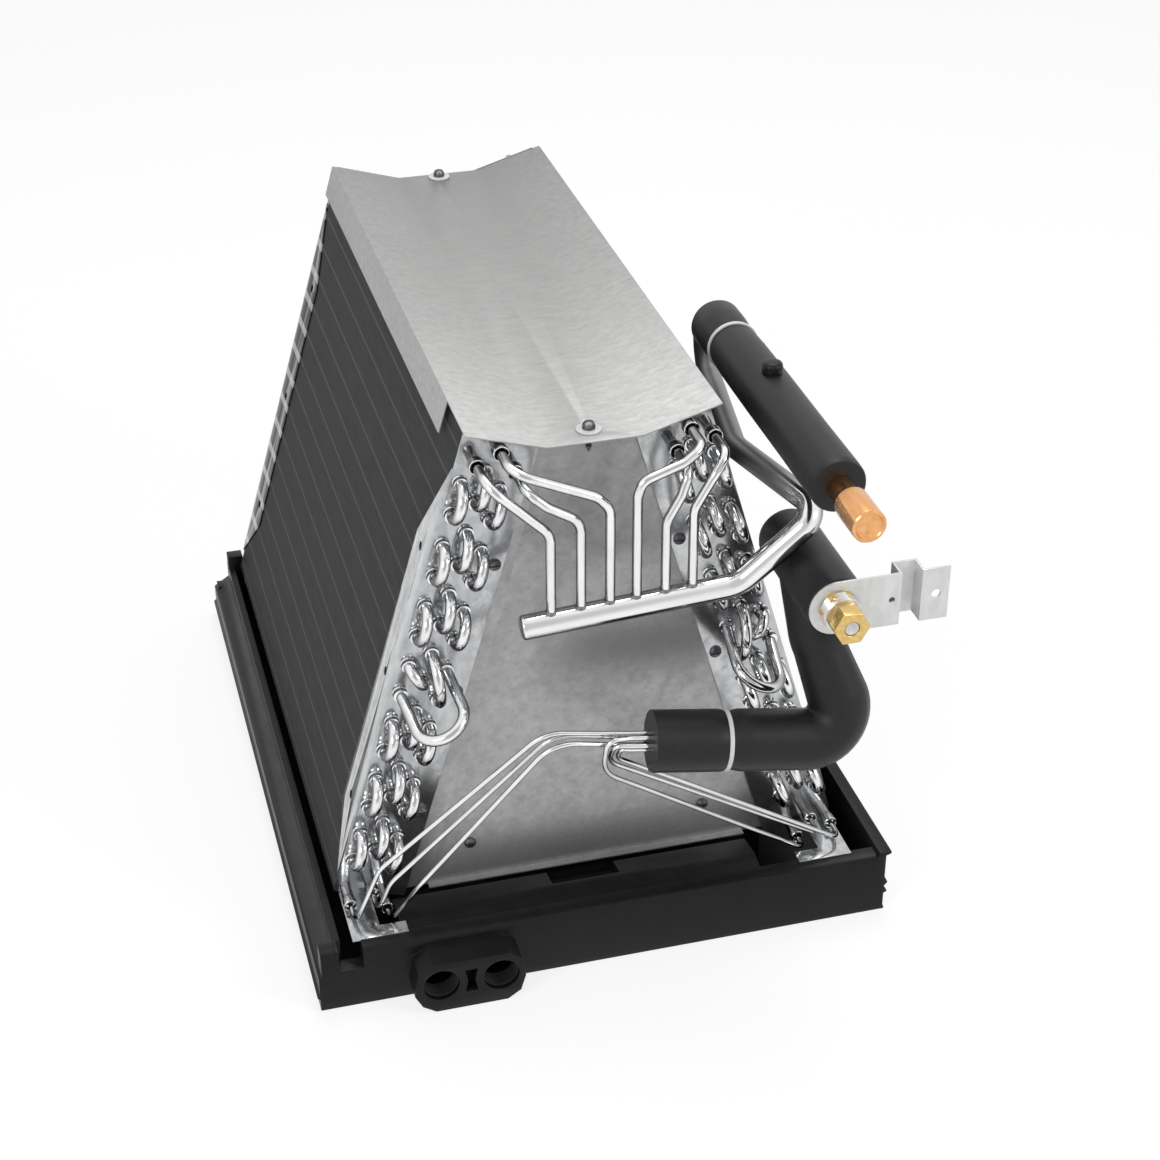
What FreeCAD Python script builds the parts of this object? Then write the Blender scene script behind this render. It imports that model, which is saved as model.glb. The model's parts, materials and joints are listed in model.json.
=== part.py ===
import FreeCAD, Part
import math
import os
import re

import Sketcher
from FreeCAD import Placement, Rotation, Vector

# A-coil evaporator: two slanted fin-and-tube slabs lean together under a folded cover and stand in a
# moulded drain pan. The suction header, its riser and the two insulated lines run round the front and the
# right side.
# +X is right, +Y is to the back and +Z is up. The origin lies on the pan's flat underside, mid-width, below
# the front of its front trough. Lengths are millimetres.

# Driving sizes, one spreadsheet row each.
SIZES = {
    # The two slabs
    "tube_pitch": 22.0,
    "tube_count": 16,
    "row_pitch": 12.5,
    "row_count": 3,
    "slab_tilt": 16.5,
    "slab_foot_half": 176.2,
    "slab_foot_height": 49.1,
    "fin_front": 36.0,
    "fin_length": 434.5,
    "groove_pitch": 9.0,
    "groove_width": 3.0,
    "groove_depth": 4.0,
    # Tube sheets and closing plates
    "sheet_thickness": 1.2,
    "strip_lap": 12.0,
    "flange_reach": 31.0,
    "flange_low_end": 15.0,
    "flange_low_full": 55.0,
    "flange_high_full": 262.0,
    "flange_high_end": 322.0,
    "flange_hole_radius": 3.0,
    "flange_hole_share": 0.55,
    "leg_outer": 11.0,
    "leg_inner": 42.0,
    "foot_outer": 3.0,
    "foot_inner": 40.5,
    "foot_front": -17.0,
    "foot_slot_outer": 23.0,
    "foot_slot_front": -6.0,
    "delta_low": 2.0,
    "delta_flange_half": 112.0,
    "delta_flange_reach": 5.0,
    "delta_top_half": 24.0,
    "delta_top_reach": 14.0,
    "fit_gap": 0.2,
    # Top cover
    "cover_lead": 19.2,
    "cover_spare": 16.1,
    "cover_centre_half": 30.6,
    "cover_thickness": 1.0,
    "cover_overhang": 5.0,
    "cover_drop": 22.0,
    "cover_notch": 49.0,
    # Tubes of the slabs
    "tube_radius": 3.7,
    "bend_leg": 5.5,
    "stub_reach": 15.0,
    "bell_length": 8.0,
    "outlet_bell_radius": 5.2,
    "inlet_bell_radius": 4.6,
    "feeder_radius": 3.175,
    "feeder_bend": 7.0,
    "capillary_radius": 1.6,
    "capillary_spread": 5.0,
    "capillary_lead": 14.0,
    "capillary_bend": 25.0,
    "bell_gap": 0.15,
    # Drain pan
    "pan_side_room": 19.8,
    "pan_front": -25.0,
    "pan_spare": 74.5,
    "pan_floor": 3.0,
    "pan_wall": 3.0,
    "pan_height": 48.0,
    "rim_drop": 1.5,
    "opening_lap": 51.2,
    "opening_inset": 9.0,
    "opening_back_inset": 12.5,
    "inner_wall_height": 36.0,
    "front_wall_depth": 12.0,
    "dam_left": -139.5,
    "dam_right": 110.0,
    "dam_back": 27.0,
    "recess_left": -32.0,
    "recess_right": 15.0,
    "recess_depth": 14.0,
    "recess_front": 8.0,
    "recess_back": 26.0,
    "back_wall_height": 30.0,
    "boss_reach": 21.0,
    "drain_radius": 12.0,
    "drain_height": 21.7,
    "drain_left": -121.0,
    "drain_right": -80.7,
    "notch_inset": 12.0,
    "notch_width": 16.0,
    "slot_half_width": 4.2,
    "slot_waist": 2.4,
    "slot_half_height": 9.0,
    "slot_depth": 12.0,
    # Suction and liquid lines
    "header_radius": 7.95,
    "sleeve_radius": 17.5,
    "sleeve_front": -83.0,
    "sleeve_length": 233.0,
    "sleeve_bore_gap": 0.3,
    "stub_front": -131.0,
    "stub_radius": 10.5,
    "stub_length": 30.0,
    "stub_taper": 5.0,
    "suction_inset": 56.7,
    "suction_z": 378.0,
    "liquid_sleeve_radius": 20.0,
    "liquid_sleeve_back": 30.0,
    "inlet_inset": 45.2,
    "inlet_z": 282.0,
    # Inlet bracket and fitting
    "bracket_front": -65.0,
    "bracket_thickness": 1.5,
    "bracket_half_height": 18.5,
    "bracket_arm": 41.0,
    "bracket_step": 13.0,
    "bracket_back_width": 15.0,
    "bracket_flange_width": 17.0,
    "bracket_hole_radius": 3.0,
    "fitting_stem_radius": 7.0,
    "fitting_hex_radius": 13.0,
    "fitting_hex_length": 7.0,
    "thread_radius": 8.5,
    "thread_length": 4.0,
    "nut_hex_radius": 11.9,
    "nut_length": 14.0,
    "nut_bore_radius": 4.85,
    "nut_bore_length": 9.0,
    "plug_radius": 4.75,
    "plug_length": 8.5,
    # Ties, service port and screws
    "tie_width": 4.6,
    "tie_thickness": 1.2,
    "tie_gap": 0.1,
    "tie_back": 112.0,
    "port_y": 37.0,
    "port_cap_radius": 6.6,
    "port_cap_height": 7.0,
    "screw_head_radius": 4.2,
    "screw_head_height": 3.0,
    "washer_radius": 8.0,
    "washer_thickness": 1.2,
    "screw_radius": 2.0,
    "screw_hole_radius": 2.3,
    "screw_length": 16.0,
    "cover_screw_inset": 3.5,
    "cover_screw_back_inset": 9.3,
    "strip_screw_low": 70.0,
    "strip_screw_spacing": 95.0,
    "delta_screw_half": 82.0,
    "delta_screw_height": 21.0,
}

# Worked-out sizes, as formulas of the driving ones.
FORMULAS = {
    "lean_sin": "sin(slab_tilt * 1 deg)",
    "lean_cos": "cos(slab_tilt * 1 deg)",
    "slab_height": "tube_pitch * tube_count",
    "slab_depth": "row_pitch * row_count",
    "fin_back": "fin_front + fin_length",
    "groove_count": "floor((fin_length - groove_width) / groove_pitch)",
    "cover_front": "fin_front - cover_lead",
    "cover_length": "fin_length + cover_spare",
    "sheet_front": "fin_front - sheet_thickness",
    "sheet_back": "fin_back + sheet_thickness",
    "cover_under": "slab_foot_height + slab_height * lean_cos"
                   " - (slab_foot_half - cover_centre_half - slab_height * lean_sin) * lean_sin / lean_cos",
    "cover_top_half": "cover_centre_half - cover_thickness * tan(slab_tilt * 0.5 deg)",
    "delta_top_along": "(cover_under - slab_foot_height + (slab_depth + fit_gap) * lean_sin) / lean_cos",
    "delta_low_height": "slab_foot_height + delta_low * lean_cos - (slab_depth + fit_gap) * lean_sin",
    "sleeve_back": "sleeve_front + sleeve_length",
    "suction_x": "slab_foot_half - suction_inset",
    "inlet_x": "slab_foot_half - inlet_inset",
    "pan_half": "slab_foot_half + pan_side_room",
    "pan_length": "fin_length + pan_spare",
    "pan_back": "pan_front + pan_length",
    "rim_height": "pan_height - rim_drop",
    "opening_half": "slab_foot_half - opening_lap",
    "opening_front": "fin_front + opening_inset",
    "opening_back": "fin_back - opening_back_inset",
    "boss_front": "pan_front - boss_reach",
    "inlet_back": "bracket_front + bracket_thickness",
    "flange_start": "inlet_x + bracket_arm + bracket_back_width",
}

WORD = re.compile(r"[a-z_]+")
NORMAL = {"XY_Plane": 1, "XZ_Plane": -1, "YZ_Plane": 1}
SIDES = {"left": 1, "right": -1}
SCREW_PLACE = {"front": "fin_front - cover_screw_inset", "back": "fin_back - cover_screw_back_inset"}

doc = FreeCAD.newDocument("ACoil")
sheet = doc.addObject("Spreadsheet::Sheet", "Sizes")
for line, (alias, number) in enumerate(SIZES.items(), 1):
    sheet.set(f"A{line}", alias)
    sheet.set(f"B{line}", str(number))
    sheet.setAlias(f"B{line}", alias)
doc.recompute()
SUB_PARTS = []


def bound(text):
    """The expression in which every size name has become its cell or its formula."""
    def swap(match):
        word = match.group()
        if word in FORMULAS:
            return "(" + bound(FORMULAS[word]) + ")"
        return "Sizes." + word if word in SIZES else word
    return WORD.sub(swap, str(text))


def size(text):
    """The value of a size name or formula."""
    return float(sheet.evalExpression(bound(text)))


def world(depth, along, side=1):
    """A slab point, inward from its outer face and up along its height, as X and Z formulas."""
    across = f"(-slab_foot_half + ({along}) * lean_sin + ({depth}) * lean_cos)"
    height = f"slab_foot_height + ({along}) * lean_cos - ({depth}) * lean_sin"
    return f"{side} * {across}", height


def from_foot(inward, height):
    """A point given inward of the slab's foot and above the ground, as depth and along formulas."""
    rise = f"({height} - slab_foot_height)"
    return f"({inward}) * lean_cos - {rise} * lean_sin", f"({inward}) * lean_sin + {rise} * lean_cos"


def new_body(label):
    """A body that stands as one sub-part under its own label."""
    body = doc.addObject("PartDesign::Body", label)
    body.Label = label
    SUB_PARTS.append(body)
    return body


def lean(body, side):
    """Tilts a body with its slab: its own Z runs up the slab and its X lies across it."""
    body.Placement = Placement(Vector(), Rotation(Vector(0, 1, 0), side))
    body.setExpression("Placement.Rotation.Angle", bound(f"{side} * slab_tilt * 1 deg"))
    body.setExpression("Placement.Base.x", bound(f"{-side} * slab_foot_half"))
    body.setExpression("Placement.Base.z", bound("slab_foot_height"))


def new_sketch(body, name, role, start):
    """A sketch on one of the body's own origin planes, moved to where it starts."""
    sketch = body.newObject("Sketcher::SketchObject", name)
    support = next(item for item in body.Origin.OriginFeatures if item.Role == role)
    sketch.AttachmentSupport = (support, "")
    sketch.MapMode = "FlatFace"
    sketch.setExpression("AttachmentOffset.Base.z", bound(f"{NORMAL[role]} * ({start})"))
    return sketch


def hold(sketch, edge, vertex, corner):
    """Holds one vertex at bound distances from the sketch's origin."""
    for kind, text in zip(("DistanceX", "DistanceY"), corner):
        index = sketch.addConstraint(Sketcher.Constraint(kind, -1, 1, edge, vertex, size(text)))
        sketch.setExpression(f"Constraints[{index}]", bound(text))


def add_outline(sketch, corners):
    """One closed outline of straight edges with every corner held."""
    points = [Vector(size(across), size(up), 0) for across, up in corners]
    first = sketch.GeometryCount
    for index, point in enumerate(points):
        sketch.addGeometry(Part.LineSegment(point, points[(index + 1) % len(points)]), False)
    for index, corner in enumerate(corners):
        following = first + (index + 1) % len(points)
        sketch.addConstraint(Sketcher.Constraint("Coincident", first + index, 2, following, 1))
        hold(sketch, first + index, 1, corner)


def add_circle(sketch, centre, radius):
    """One circle with its centre and radius held."""
    middle = Vector(size(centre[0]), size(centre[1]), 0)
    edge = sketch.addGeometry(Part.Circle(middle, Vector(0, 0, 1), size(radius)), False)
    hold(sketch, edge, 3, centre)
    index = sketch.addConstraint(Sketcher.Constraint("Radius", edge, size(radius)))
    sketch.setExpression(f"Constraints[{index}]", bound(radius))


def grow(body, name, role, outlines, start, length):
    """Pads outlines along the plane's axis, towards plus, from where they start."""
    sketch = new_sketch(body, f"{name}_outline", role, start)
    for corners in outlines:
        add_outline(sketch, corners)
    pad = body.newObject("PartDesign::Pad", name)
    pad.Profile = sketch
    pad.Reversed = NORMAL[role] < 0
    pad.setExpression("Length", bound(length))
    return pad


def cut(body, name, role, start, length, outlines=(), circles=()):
    """Pockets outlines and circles along the plane's axis, towards plus, and checks that they cut."""
    doc.recompute()
    before = body.Shape.Volume
    sketch = new_sketch(body, f"{name}_outline", role, start)
    for corners in outlines:
        add_outline(sketch, corners)
    for centre, radius in circles:
        add_circle(sketch, centre, radius)
    pocket = body.newObject("PartDesign::Pocket", name)
    pocket.Profile = sketch
    pocket.Reversed = NORMAL[role] > 0
    pocket.setExpression("Length", bound(length))
    doc.recompute()
    if body.Shape.Volume >= before:
        raise ValueError(f"{name} cuts nothing from {body.Label}")
    return pocket


def rectangle(left, low, right, high):
    """The four corners of an upright rectangle."""
    return [(left, low), (right, low), (right, high), (left, high)]


def mirrored(corners, side):
    """The outline on the given side, for corners written for the left slab."""
    return [(f"{side} * ({across})", up) for across, up in corners]


def corner_arc(before, corner, after, radius, step):
    """Chords of the arc that rounds one corner of a route, tangent to both its runs."""
    inward = (before - corner).normalize()
    outward = (after - corner).normalize()
    turn = math.pi - inward.getAngle(outward)
    centre = corner + (inward + outward).normalize() * (radius / math.cos(turn / 2))
    start = corner + inward * (radius * math.tan(turn / 2))
    axis = inward.cross(start - centre)
    count = max(1, math.ceil(math.degrees(turn) / step))
    swing = [Rotation(axis, math.degrees(turn) * index / count) for index in range(count + 1)]
    return [centre + turned.multVec(start - centre) for turned in swing]


def rounded_route(points, radii, step):
    """A route of straight runs joined by chords of tangent arcs."""
    path = [points[0]]
    for index, radius in enumerate(radii, 1):
        path += corner_arc(points[index - 1], points[index], points[index + 1], radius, step)
    return path + [points[-1]]


def many_sided_tube(path, radius, side_count, end_normal=None):
    """A solid tube of flat sides along a path, mitred at each of its corners."""
    headings = [(after - before).normalize() for before, after in zip(path, path[1:])]
    across = headings[0].cross(Vector(0, 0, 1))
    if across.Length < 0.1:
        across = headings[0].cross(Vector(0, 1, 0))
    spoke = across.normalize() * radius
    half = 180 / side_count
    turns = [Rotation(headings[0], half * (2 * index + 1)) for index in range(side_count)]
    corners = [path[0] + turn.multVec(spoke) for turn in turns]
    rings = [corners]
    for index, place in enumerate(path[1:], 1):
        heading = headings[index - 1]
        last = index == len(path) - 1
        normal = (end_normal or heading) if last else heading + headings[index]
        slope = heading.dot(normal)
        corners = [corner + heading * ((place - corner).dot(normal) / slope) for corner in corners]
        rings.append(corners)
    faces = [Part.Face(Part.makePolygon(ring + ring[:1])) for ring in (rings[0], rings[-1])]
    for low, high in zip(rings, rings[1:]):
        for index in range(side_count):
            beside = (index + 1) % side_count
            quad = [low[index], low[beside], high[beside], high[index], low[index]]
            faces.append(Part.Face(Part.makePolygon(quad)))
    solid = Part.Solid(Part.Shell(faces))
    if solid.Volume < 0:
        solid.reverse()
    section = side_count / 2 * radius ** 2 * math.sin(2 * math.pi / side_count)
    length = sum((after - before).Length for before, after in zip(path, path[1:]))
    if abs(solid.Volume / (section * length) - 1) > 0.03:
        raise ValueError("a tube's volume differs from its section times its length")
    return solid


def add_shape(label, solids):
    """A sub-part of one or more solids shaped with Part's functions."""
    feature = doc.addObject("Part::Feature", label)
    feature.Label = label
    feature.Shape = solids[0] if len(solids) == 1 else Part.makeCompound(solids)
    feature.Placement = Placement()
    SUB_PARTS.append(feature)
    return feature


def tube_end(side, row, number, y):
    """The axis point of a slab tube: rows count inward, tubes count down from the top."""
    stagger = size("tube_pitch") / 2 if row == 2 else 0
    along = size("tube_pitch") * (size("tube_count") - number + 0.25) + stagger
    depth = size("row_pitch") * (row - 0.5)
    across, height = world(depth, along, side)
    return Vector(size(across), y, size(height))


def return_bend(first, second, leg, outward, side_count, chords):
    """A U bend between two tube ends, standing out of the sheet along plus or minus Y."""
    away = Vector(0, outward, 0)
    radius = (second - first).Length / 2
    middle = (first + second) / 2 + away * leg
    spoke = (first - second).normalize() * radius
    path = [first]
    for index in range(chords + 1):
        angle = math.pi * index / chords
        path.append(middle + spoke * math.cos(angle) + away * (radius * math.sin(angle)))
    return many_sided_tube(path + [second], size("tube_radius"), side_count)


def make_fin_block(name, side):
    """One slab of pressed fins: a block with comb grooves down both of its faces."""
    body = new_body(f"fin_block_{name}")
    lean(body, side)
    block = rectangle("0", "0", "slab_depth", "slab_height")
    grow(body, f"fins_{name}", "XZ_Plane", [mirrored(block, side)], "fin_front", "fin_length")
    outer = rectangle("-1", "-1", "groove_depth", "slab_height + 1")
    inner = rectangle("slab_depth - groove_depth", "-1", "slab_depth + 1", "slab_height + 1")
    groove = cut(body, f"groove_{name}", "XZ_Plane", "fin_front + groove_pitch / 2", "groove_width",
                 [mirrored(outer, side), mirrored(inner, side)])
    pattern = body.newObject("PartDesign::LinearPattern", f"grooves_{name}")
    pattern.Originals = [groove]
    along_y = next(item for item in body.Origin.OriginFeatures if item.Role == "Y_Axis")
    pattern.Direction = (along_y, [""])
    pattern.setExpression("Occurrences", bound("groove_count"))
    pattern.setExpression("Length", bound("(groove_count - 1) * groove_pitch"))
    body.Tip = pattern


def make_tube_sheet(name, side, end, face):
    """A tube sheet: strip over one end of a slab, its side flange with three holes, and its foot."""
    body = new_body(f"tube_sheet_{end}_{name}")
    lean(body, side)
    leg = [from_foot("leg_outer", "pan_floor"), from_foot("leg_inner", "pan_floor")]
    strip = [("0", "slab_height"), ("0", "0")] + (leg if end == "back" else [])
    strip += [("slab_depth + strip_lap", "0"), ("slab_depth + strip_lap", "slab_height")]
    grow(body, f"strip_{end}_{name}", "XZ_Plane", [mirrored(strip, side)], face, "sheet_thickness")
    toward = 1 if end == "front" else -1
    base = face if end == "front" else f"{face} + sheet_thickness"
    reach = f"{base} + {toward} * flange_reach"
    flange = [(base, "flange_low_end"), (reach, "flange_low_full"), (reach, "flange_high_full"),
              (base, "flange_high_end")]
    start = "-sheet_thickness" if side > 0 else "0"
    grow(body, f"flange_{end}_{name}", "YZ_Plane", [flange], start, "sheet_thickness")
    middle = f"{base} + {toward} * flange_reach * flange_hole_share"
    circles = [((middle, f"flange_low_full + {share} * (flange_high_full - flange_low_full)"),
                "flange_hole_radius") for share in (0.06, 0.53, 0.98)]
    cut(body, f"flange_holes_{end}_{name}", "YZ_Plane", f"{start} - 0.5", "sheet_thickness + 1",
        circles=circles)
    if end == "front":
        pads = (("toe", "foot_inner", "foot_slot_front"), ("heel", "foot_slot_outer", face))
        for piece, inner, back in pads:
            foot = [from_foot("foot_outer", "rim_height"), from_foot(inner, "rim_height"),
                    from_foot(inner, "rim_height + sheet_thickness"),
                    from_foot("foot_outer", "rim_height + sheet_thickness")]
            length = f"{back} - foot_front"
            grow(body, f"{piece}_{name}", "XZ_Plane", [mirrored(foot, side)], "foot_front", length)


def make_delta_plate(end, start, toward):
    """The plate that closes the triangle between the slabs, with folded top and bottom flanges."""
    body = new_body(f"delta_plate_{end}")
    low = world("slab_depth + fit_gap", "delta_low")
    high = world("slab_depth + fit_gap", "delta_top_along")
    corners = [low, high, (f"-({high[0]})", high[1]), (f"-({low[0]})", low[1])]
    grow(body, f"delta_{end}", "XZ_Plane", [corners], start, "sheet_thickness")
    for name, half, reach, level, fold_way in (
            ("top", "delta_top_half", "delta_top_reach", "cover_under - sheet_thickness", -1),
            ("low", "delta_flange_half", "delta_flange_reach", "delta_low_height", toward)):
        fold = rectangle(f"-{half}", level, half, f"{level} + sheet_thickness")
        first = f"{start} - {reach}" if fold_way < 0 else f"{start} + sheet_thickness"
        grow(body, f"delta_{name}_{end}", "XZ_Plane", [fold], first, reach)
    drill_for_screw(body, end, "cover_under - sheet_thickness", "sheet_thickness")


def drill_for_screw(body, end, level, thickness):
    """The hole that a cover screw passes down through."""
    cut(body, f"screw_hole_{end}", "XY_Plane", f"{level} - 0.5", f"{thickness} + 1",
        circles=[(("0", SCREW_PLACE[end]), "screw_hole_radius")])


def make_cover():
    """The top cover: one sheet folded along its centre panel and down over both slabs."""
    body = new_body("top_cover")
    inside = "-(cover_overhang - cover_thickness)"
    under = [world(inside, "slab_height - cover_drop"), world(inside, "slab_height"),
             ("-cover_centre_half", "cover_under")]
    above = [("-cover_top_half", "cover_under + cover_thickness"),
             world("-cover_overhang", "slab_height + cover_thickness"),
             world("-cover_overhang", "slab_height - cover_drop")]
    flipped_under = [(f"-({across})", up) for across, up in reversed(under)]
    flipped_above = [(f"-({across})", up) for across, up in reversed(above)]
    outline = under + flipped_under + flipped_above + above
    grow(body, "cover_sheet", "XZ_Plane", [outline], "cover_front", "cover_length")
    outside = "-cover_overhang - 1"
    below = "slab_height - cover_drop - 1"
    notch = [world(outside, below), world(outside, "slab_height"), world("0", "slab_height"),
             world("0", below)]
    for name, side in SIDES.items():
        cut(body, f"notch_{name}", "XZ_Plane", "cover_front - 1", "cover_notch + 1", [mirrored(notch, side)])
    for end in SCREW_PLACE:
        drill_for_screw(body, end, "cover_under", "cover_thickness")


def make_pan():
    """The drain pan in one moulding: floor, walls, inner wall round the air opening, dam and drain boss."""
    body = new_body("drain_pan")
    hole = rectangle("-opening_half", "opening_front", "opening_half", "opening_back")
    edge = rectangle("-pan_half", "pan_front", "pan_half", "pan_back")
    grow(body, "floor", "XY_Plane", [edge, hole], "0", "pan_floor")
    ring = rectangle("-opening_half - pan_wall", "opening_front - pan_wall", "opening_half + pan_wall",
                     "opening_back + pan_wall")
    grow(body, "inner_wall", "XY_Plane", [ring, hole], "0", "inner_wall_height")
    right = [("pan_half - 9", "0"), ("pan_half + 0.8", "0"), ("pan_half + 0.8", "2"),
             ("pan_half - 1", "4.8"), ("pan_half - 1", "13.2"), ("pan_half + 2.6", "15"),
             ("pan_half", "20"), ("pan_half + 2.5", "22.8"),
             ("pan_half - 5", "pan_height - 9.4"), ("pan_half", "pan_height - 7.4"),
             ("pan_half", "pan_height - 1.7"), ("pan_half + 3.7", "pan_height - 0.5"),
             ("pan_half + 3.7", "pan_height + 1.4"), ("pan_half - 5", "pan_height + 1.4"),
             ("pan_half - 9", "pan_height - 7.4")]
    grow(body, "right_wall", "XZ_Plane", [right], "pan_front", "pan_length")
    left = [("-pan_half - 2", "0"), ("-pan_half - 2", "9"), ("-pan_half - 4", "11"), ("-pan_half - 2", "13"),
            ("-pan_half - 2", "26"), ("10 - pan_half", "34"), ("10 - pan_half", "pan_height - 1"),
            ("15 - pan_half", "pan_height - 1"), ("15 - pan_half", "0")]
    grow(body, "left_wall", "XZ_Plane", [left], "pan_front", "pan_length")
    front = [("pan_front", "0"), ("pan_front", "rim_height - 4"), ("pan_front + 1.5", "rim_height - 1"),
             ("pan_front + 4", "rim_height"), ("pan_front + front_wall_depth", "rim_height"),
             ("pan_front + front_wall_depth", "0")]
    grow(body, "front_wall", "YZ_Plane", [front], "-pan_half", "2 * pan_half")
    dam = [("pan_front + front_wall_depth", "0"), ("pan_front + front_wall_depth", "rim_height - 5"),
           ("pan_front + 20", "rim_height - 2"), ("pan_front + 27", "rim_height"),
           ("dam_back - 3", "rim_height - 4"), ("dam_back", "rim_height - 8"), ("dam_back", "0")]
    grow(body, "dam", "YZ_Plane", [dam], "dam_left", "dam_right - dam_left")
    back = rectangle("-pan_half", "0", "pan_half", "back_wall_height")
    grow(body, "back_wall", "XZ_Plane", [back], "pan_back - 10", "10")
    post = rectangle("10 - pan_half", "pan_back - 12", "22 - pan_half", "pan_back - 2")
    grow(body, "back_post", "XY_Plane", [post], "0", "pan_height + 10")
    boss = [("drain_left - 18", "drain_height - 6"), ("drain_left - 13", "6"), ("drain_left - 4", "0"),
            ("drain_right + 4", "0"), ("drain_right + 13", "6"), ("drain_right + 16.5", "drain_height - 4"),
            ("drain_right + 14", "33"), ("drain_right + 4", "39"), ("drain_left - 4", "39"),
            ("drain_left - 15", "33")]
    grow(body, "drain_boss", "XZ_Plane", [boss], "boss_front", "boss_reach")
    recess = rectangle("recess_left", "rim_height - recess_depth", "recess_right", "pan_height")
    cut(body, "dam_recess", "XZ_Plane", "recess_front", "recess_back - recess_front", [recess])
    corner = rectangle("notch_inset - pan_half", "back_wall_height", "notch_inset + notch_width - pan_half",
                       "pan_height + 4")
    cut(body, "front_left_notch", "XZ_Plane", "pan_front - 1", "front_wall_depth + 1", [corner])
    drains = [((centre, "drain_height"), "drain_radius") for centre in ("drain_left", "drain_right")]
    cut(body, "drain_bores", "XZ_Plane", "boss_front - 1", "boss_reach + dam_back - pan_front + 2",
        circles=drains)
    middle = "(drain_left + drain_right) / 2"
    slot = []
    for sign in (1, -1):
        slot += [(f"{middle} - {sign} * slot_half_width", f"drain_height - {sign} * slot_half_height"),
                 (f"{middle} + {sign} * slot_half_width", f"drain_height - {sign} * slot_half_height"),
                 (f"{middle} + {sign} * slot_waist", "drain_height")]
    cut(body, "drain_slot", "XZ_Plane", "boss_front - 1", "slot_depth + 1", [slot])


def make_slab_tubes(name, side):
    """The tube bends and belled tube ends of one slab."""
    front = size("sheet_front")
    back = size("sheet_back")
    leg = size("bend_leg")
    for row in (1, 2, 3):
        pairs = [[tube_end(side, row, number, front) for number in (upper, upper + 1)]
                 for upper in (2, 4, 6, 10, 12, 14)]
        bends = [return_bend(*pair, leg, -1, 8, 4) for pair in pairs]
        add_shape(f"return_bends_{name}_row_{row}", bends)
    pairs = [[tube_end(side, row, number, back) for number in (upper, upper + 1)]
             for row in (1, 2, 3) for upper in range(1, 16, 2)]
    hairpins = [return_bend(*pair, leg, 1, 6, 3) for pair in pairs]
    add_shape(f"hairpin_bends_{name}", hairpins)
    links = [((1, 8), (2, 9), 3.0), ((3, 8), (1, 9), 28.0), ((2, 8), (3, 9), 2.0)]
    crossovers = [return_bend(tube_end(side, *start, front), tube_end(side, *finish, front), reach, -1, 8, 6)
                  for start, finish, reach in links]
    add_shape(f"crossover_bends_{name}", crossovers)
    for place, number, inner in (("outlet", 1, "feeder_radius"), ("inlet", 16, "capillary_radius")):
        outer = size(f"{place}_bell_radius")
        ends = [belled_end(tube_end(side, row, number, front), outer, size(inner)) for row in (1, 2, 3)]
        add_shape(f"{place}_tube_ends_{name}", ends)


def belled_end(root, outer, inner):
    """A straight tube end with a bell that takes a smaller tube."""
    reach = size("stub_reach")
    bell = size("bell_length")
    forward = Vector(0, -1, 0)
    stem = Part.makeCylinder(size("tube_radius"), reach, root, forward)
    cup = Part.makeCylinder(outer, bell, root + forward * reach, forward)
    bore = Part.makeCylinder(inner + size("bell_gap"), bell, root + forward * reach, forward)
    return stem.fuse(cup.cut(bore)).removeSplitter()


# The hand-set routes are laid out for slabs whose feet stand this far from the middle. Points beyond the
# spread move with the feet, and those between move in proportion.
ROUTED_FOOT_HALF = 176.2
ROUTE_SPREAD = 100.0
# A soldered tube starts this far before the bell that it enters.
MOUTH_GAP = Vector(0.0, 0.2, 0.0)

# Suction header: its level run starts at the left end and rises slightly to the right.
HEADER_LEFT = Vector(-55.0, -17.0, 270.0)
HEADER_RIGHT = Vector(83.0, -17.0, 278.4)
HEADER_BENDS = [24.0, 26.0, 24.0]
RETURN_LEAN = 2.5
RISER = [Vector(134.0, -22.0, 326.0), Vector(108.0, 70.0, 328.0)]
RETURN_TURN = 21.5

# Feeder routes after their tube end: hand-set points in front of the slabs, then the drop to the header.
FEEDERS = [
    ("left", 1, [(-60.5, -13.0, 358.0), (-37.5, -17.0, 333.0)]),
    ("left", 3, [(-53.0, -13.0, 365.5), (-39.0, -17.0, 352.0), (-18.5, -17.0, 339.5)]),
    ("left", 2, [(-54.5, -13.0, 375.5), (-8.0, -17.0, 354.5), (0.0, -17.0, 345.0)]),
    ("right", 2, [(58.0, -11.0, 378.0), (47.0, -15.0, 369.0), (20.0, -17.0, 361.0), (17.0, -17.0, 351.0)]),
    ("right", 3, [(49.5, -13.0, 358.5), (45.0, -16.0, 347.0), (35.5, -17.0, 331.0)]),
    ("right", 1, [(72.8, -11.0, 371.0), (66.0, -16.0, 358.5), (53.0, -17.0, 337.0)]),
]


def laid_out(place):
    """A hand-set point of a route, moved sideways with the slabs."""
    point = Vector(*place)
    share = max(-1.0, min(1.0, point.x / ROUTE_SPREAD))
    return point + Vector(share * (size("slab_foot_half") - ROUTED_FOOT_HALF), 0, 0)


def on_header(x):
    """The header's axis point under a feeder."""
    left = laid_out(HEADER_LEFT)
    run = laid_out(HEADER_RIGHT) - left
    return left + run * ((x - left.x) / run.x)


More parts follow.
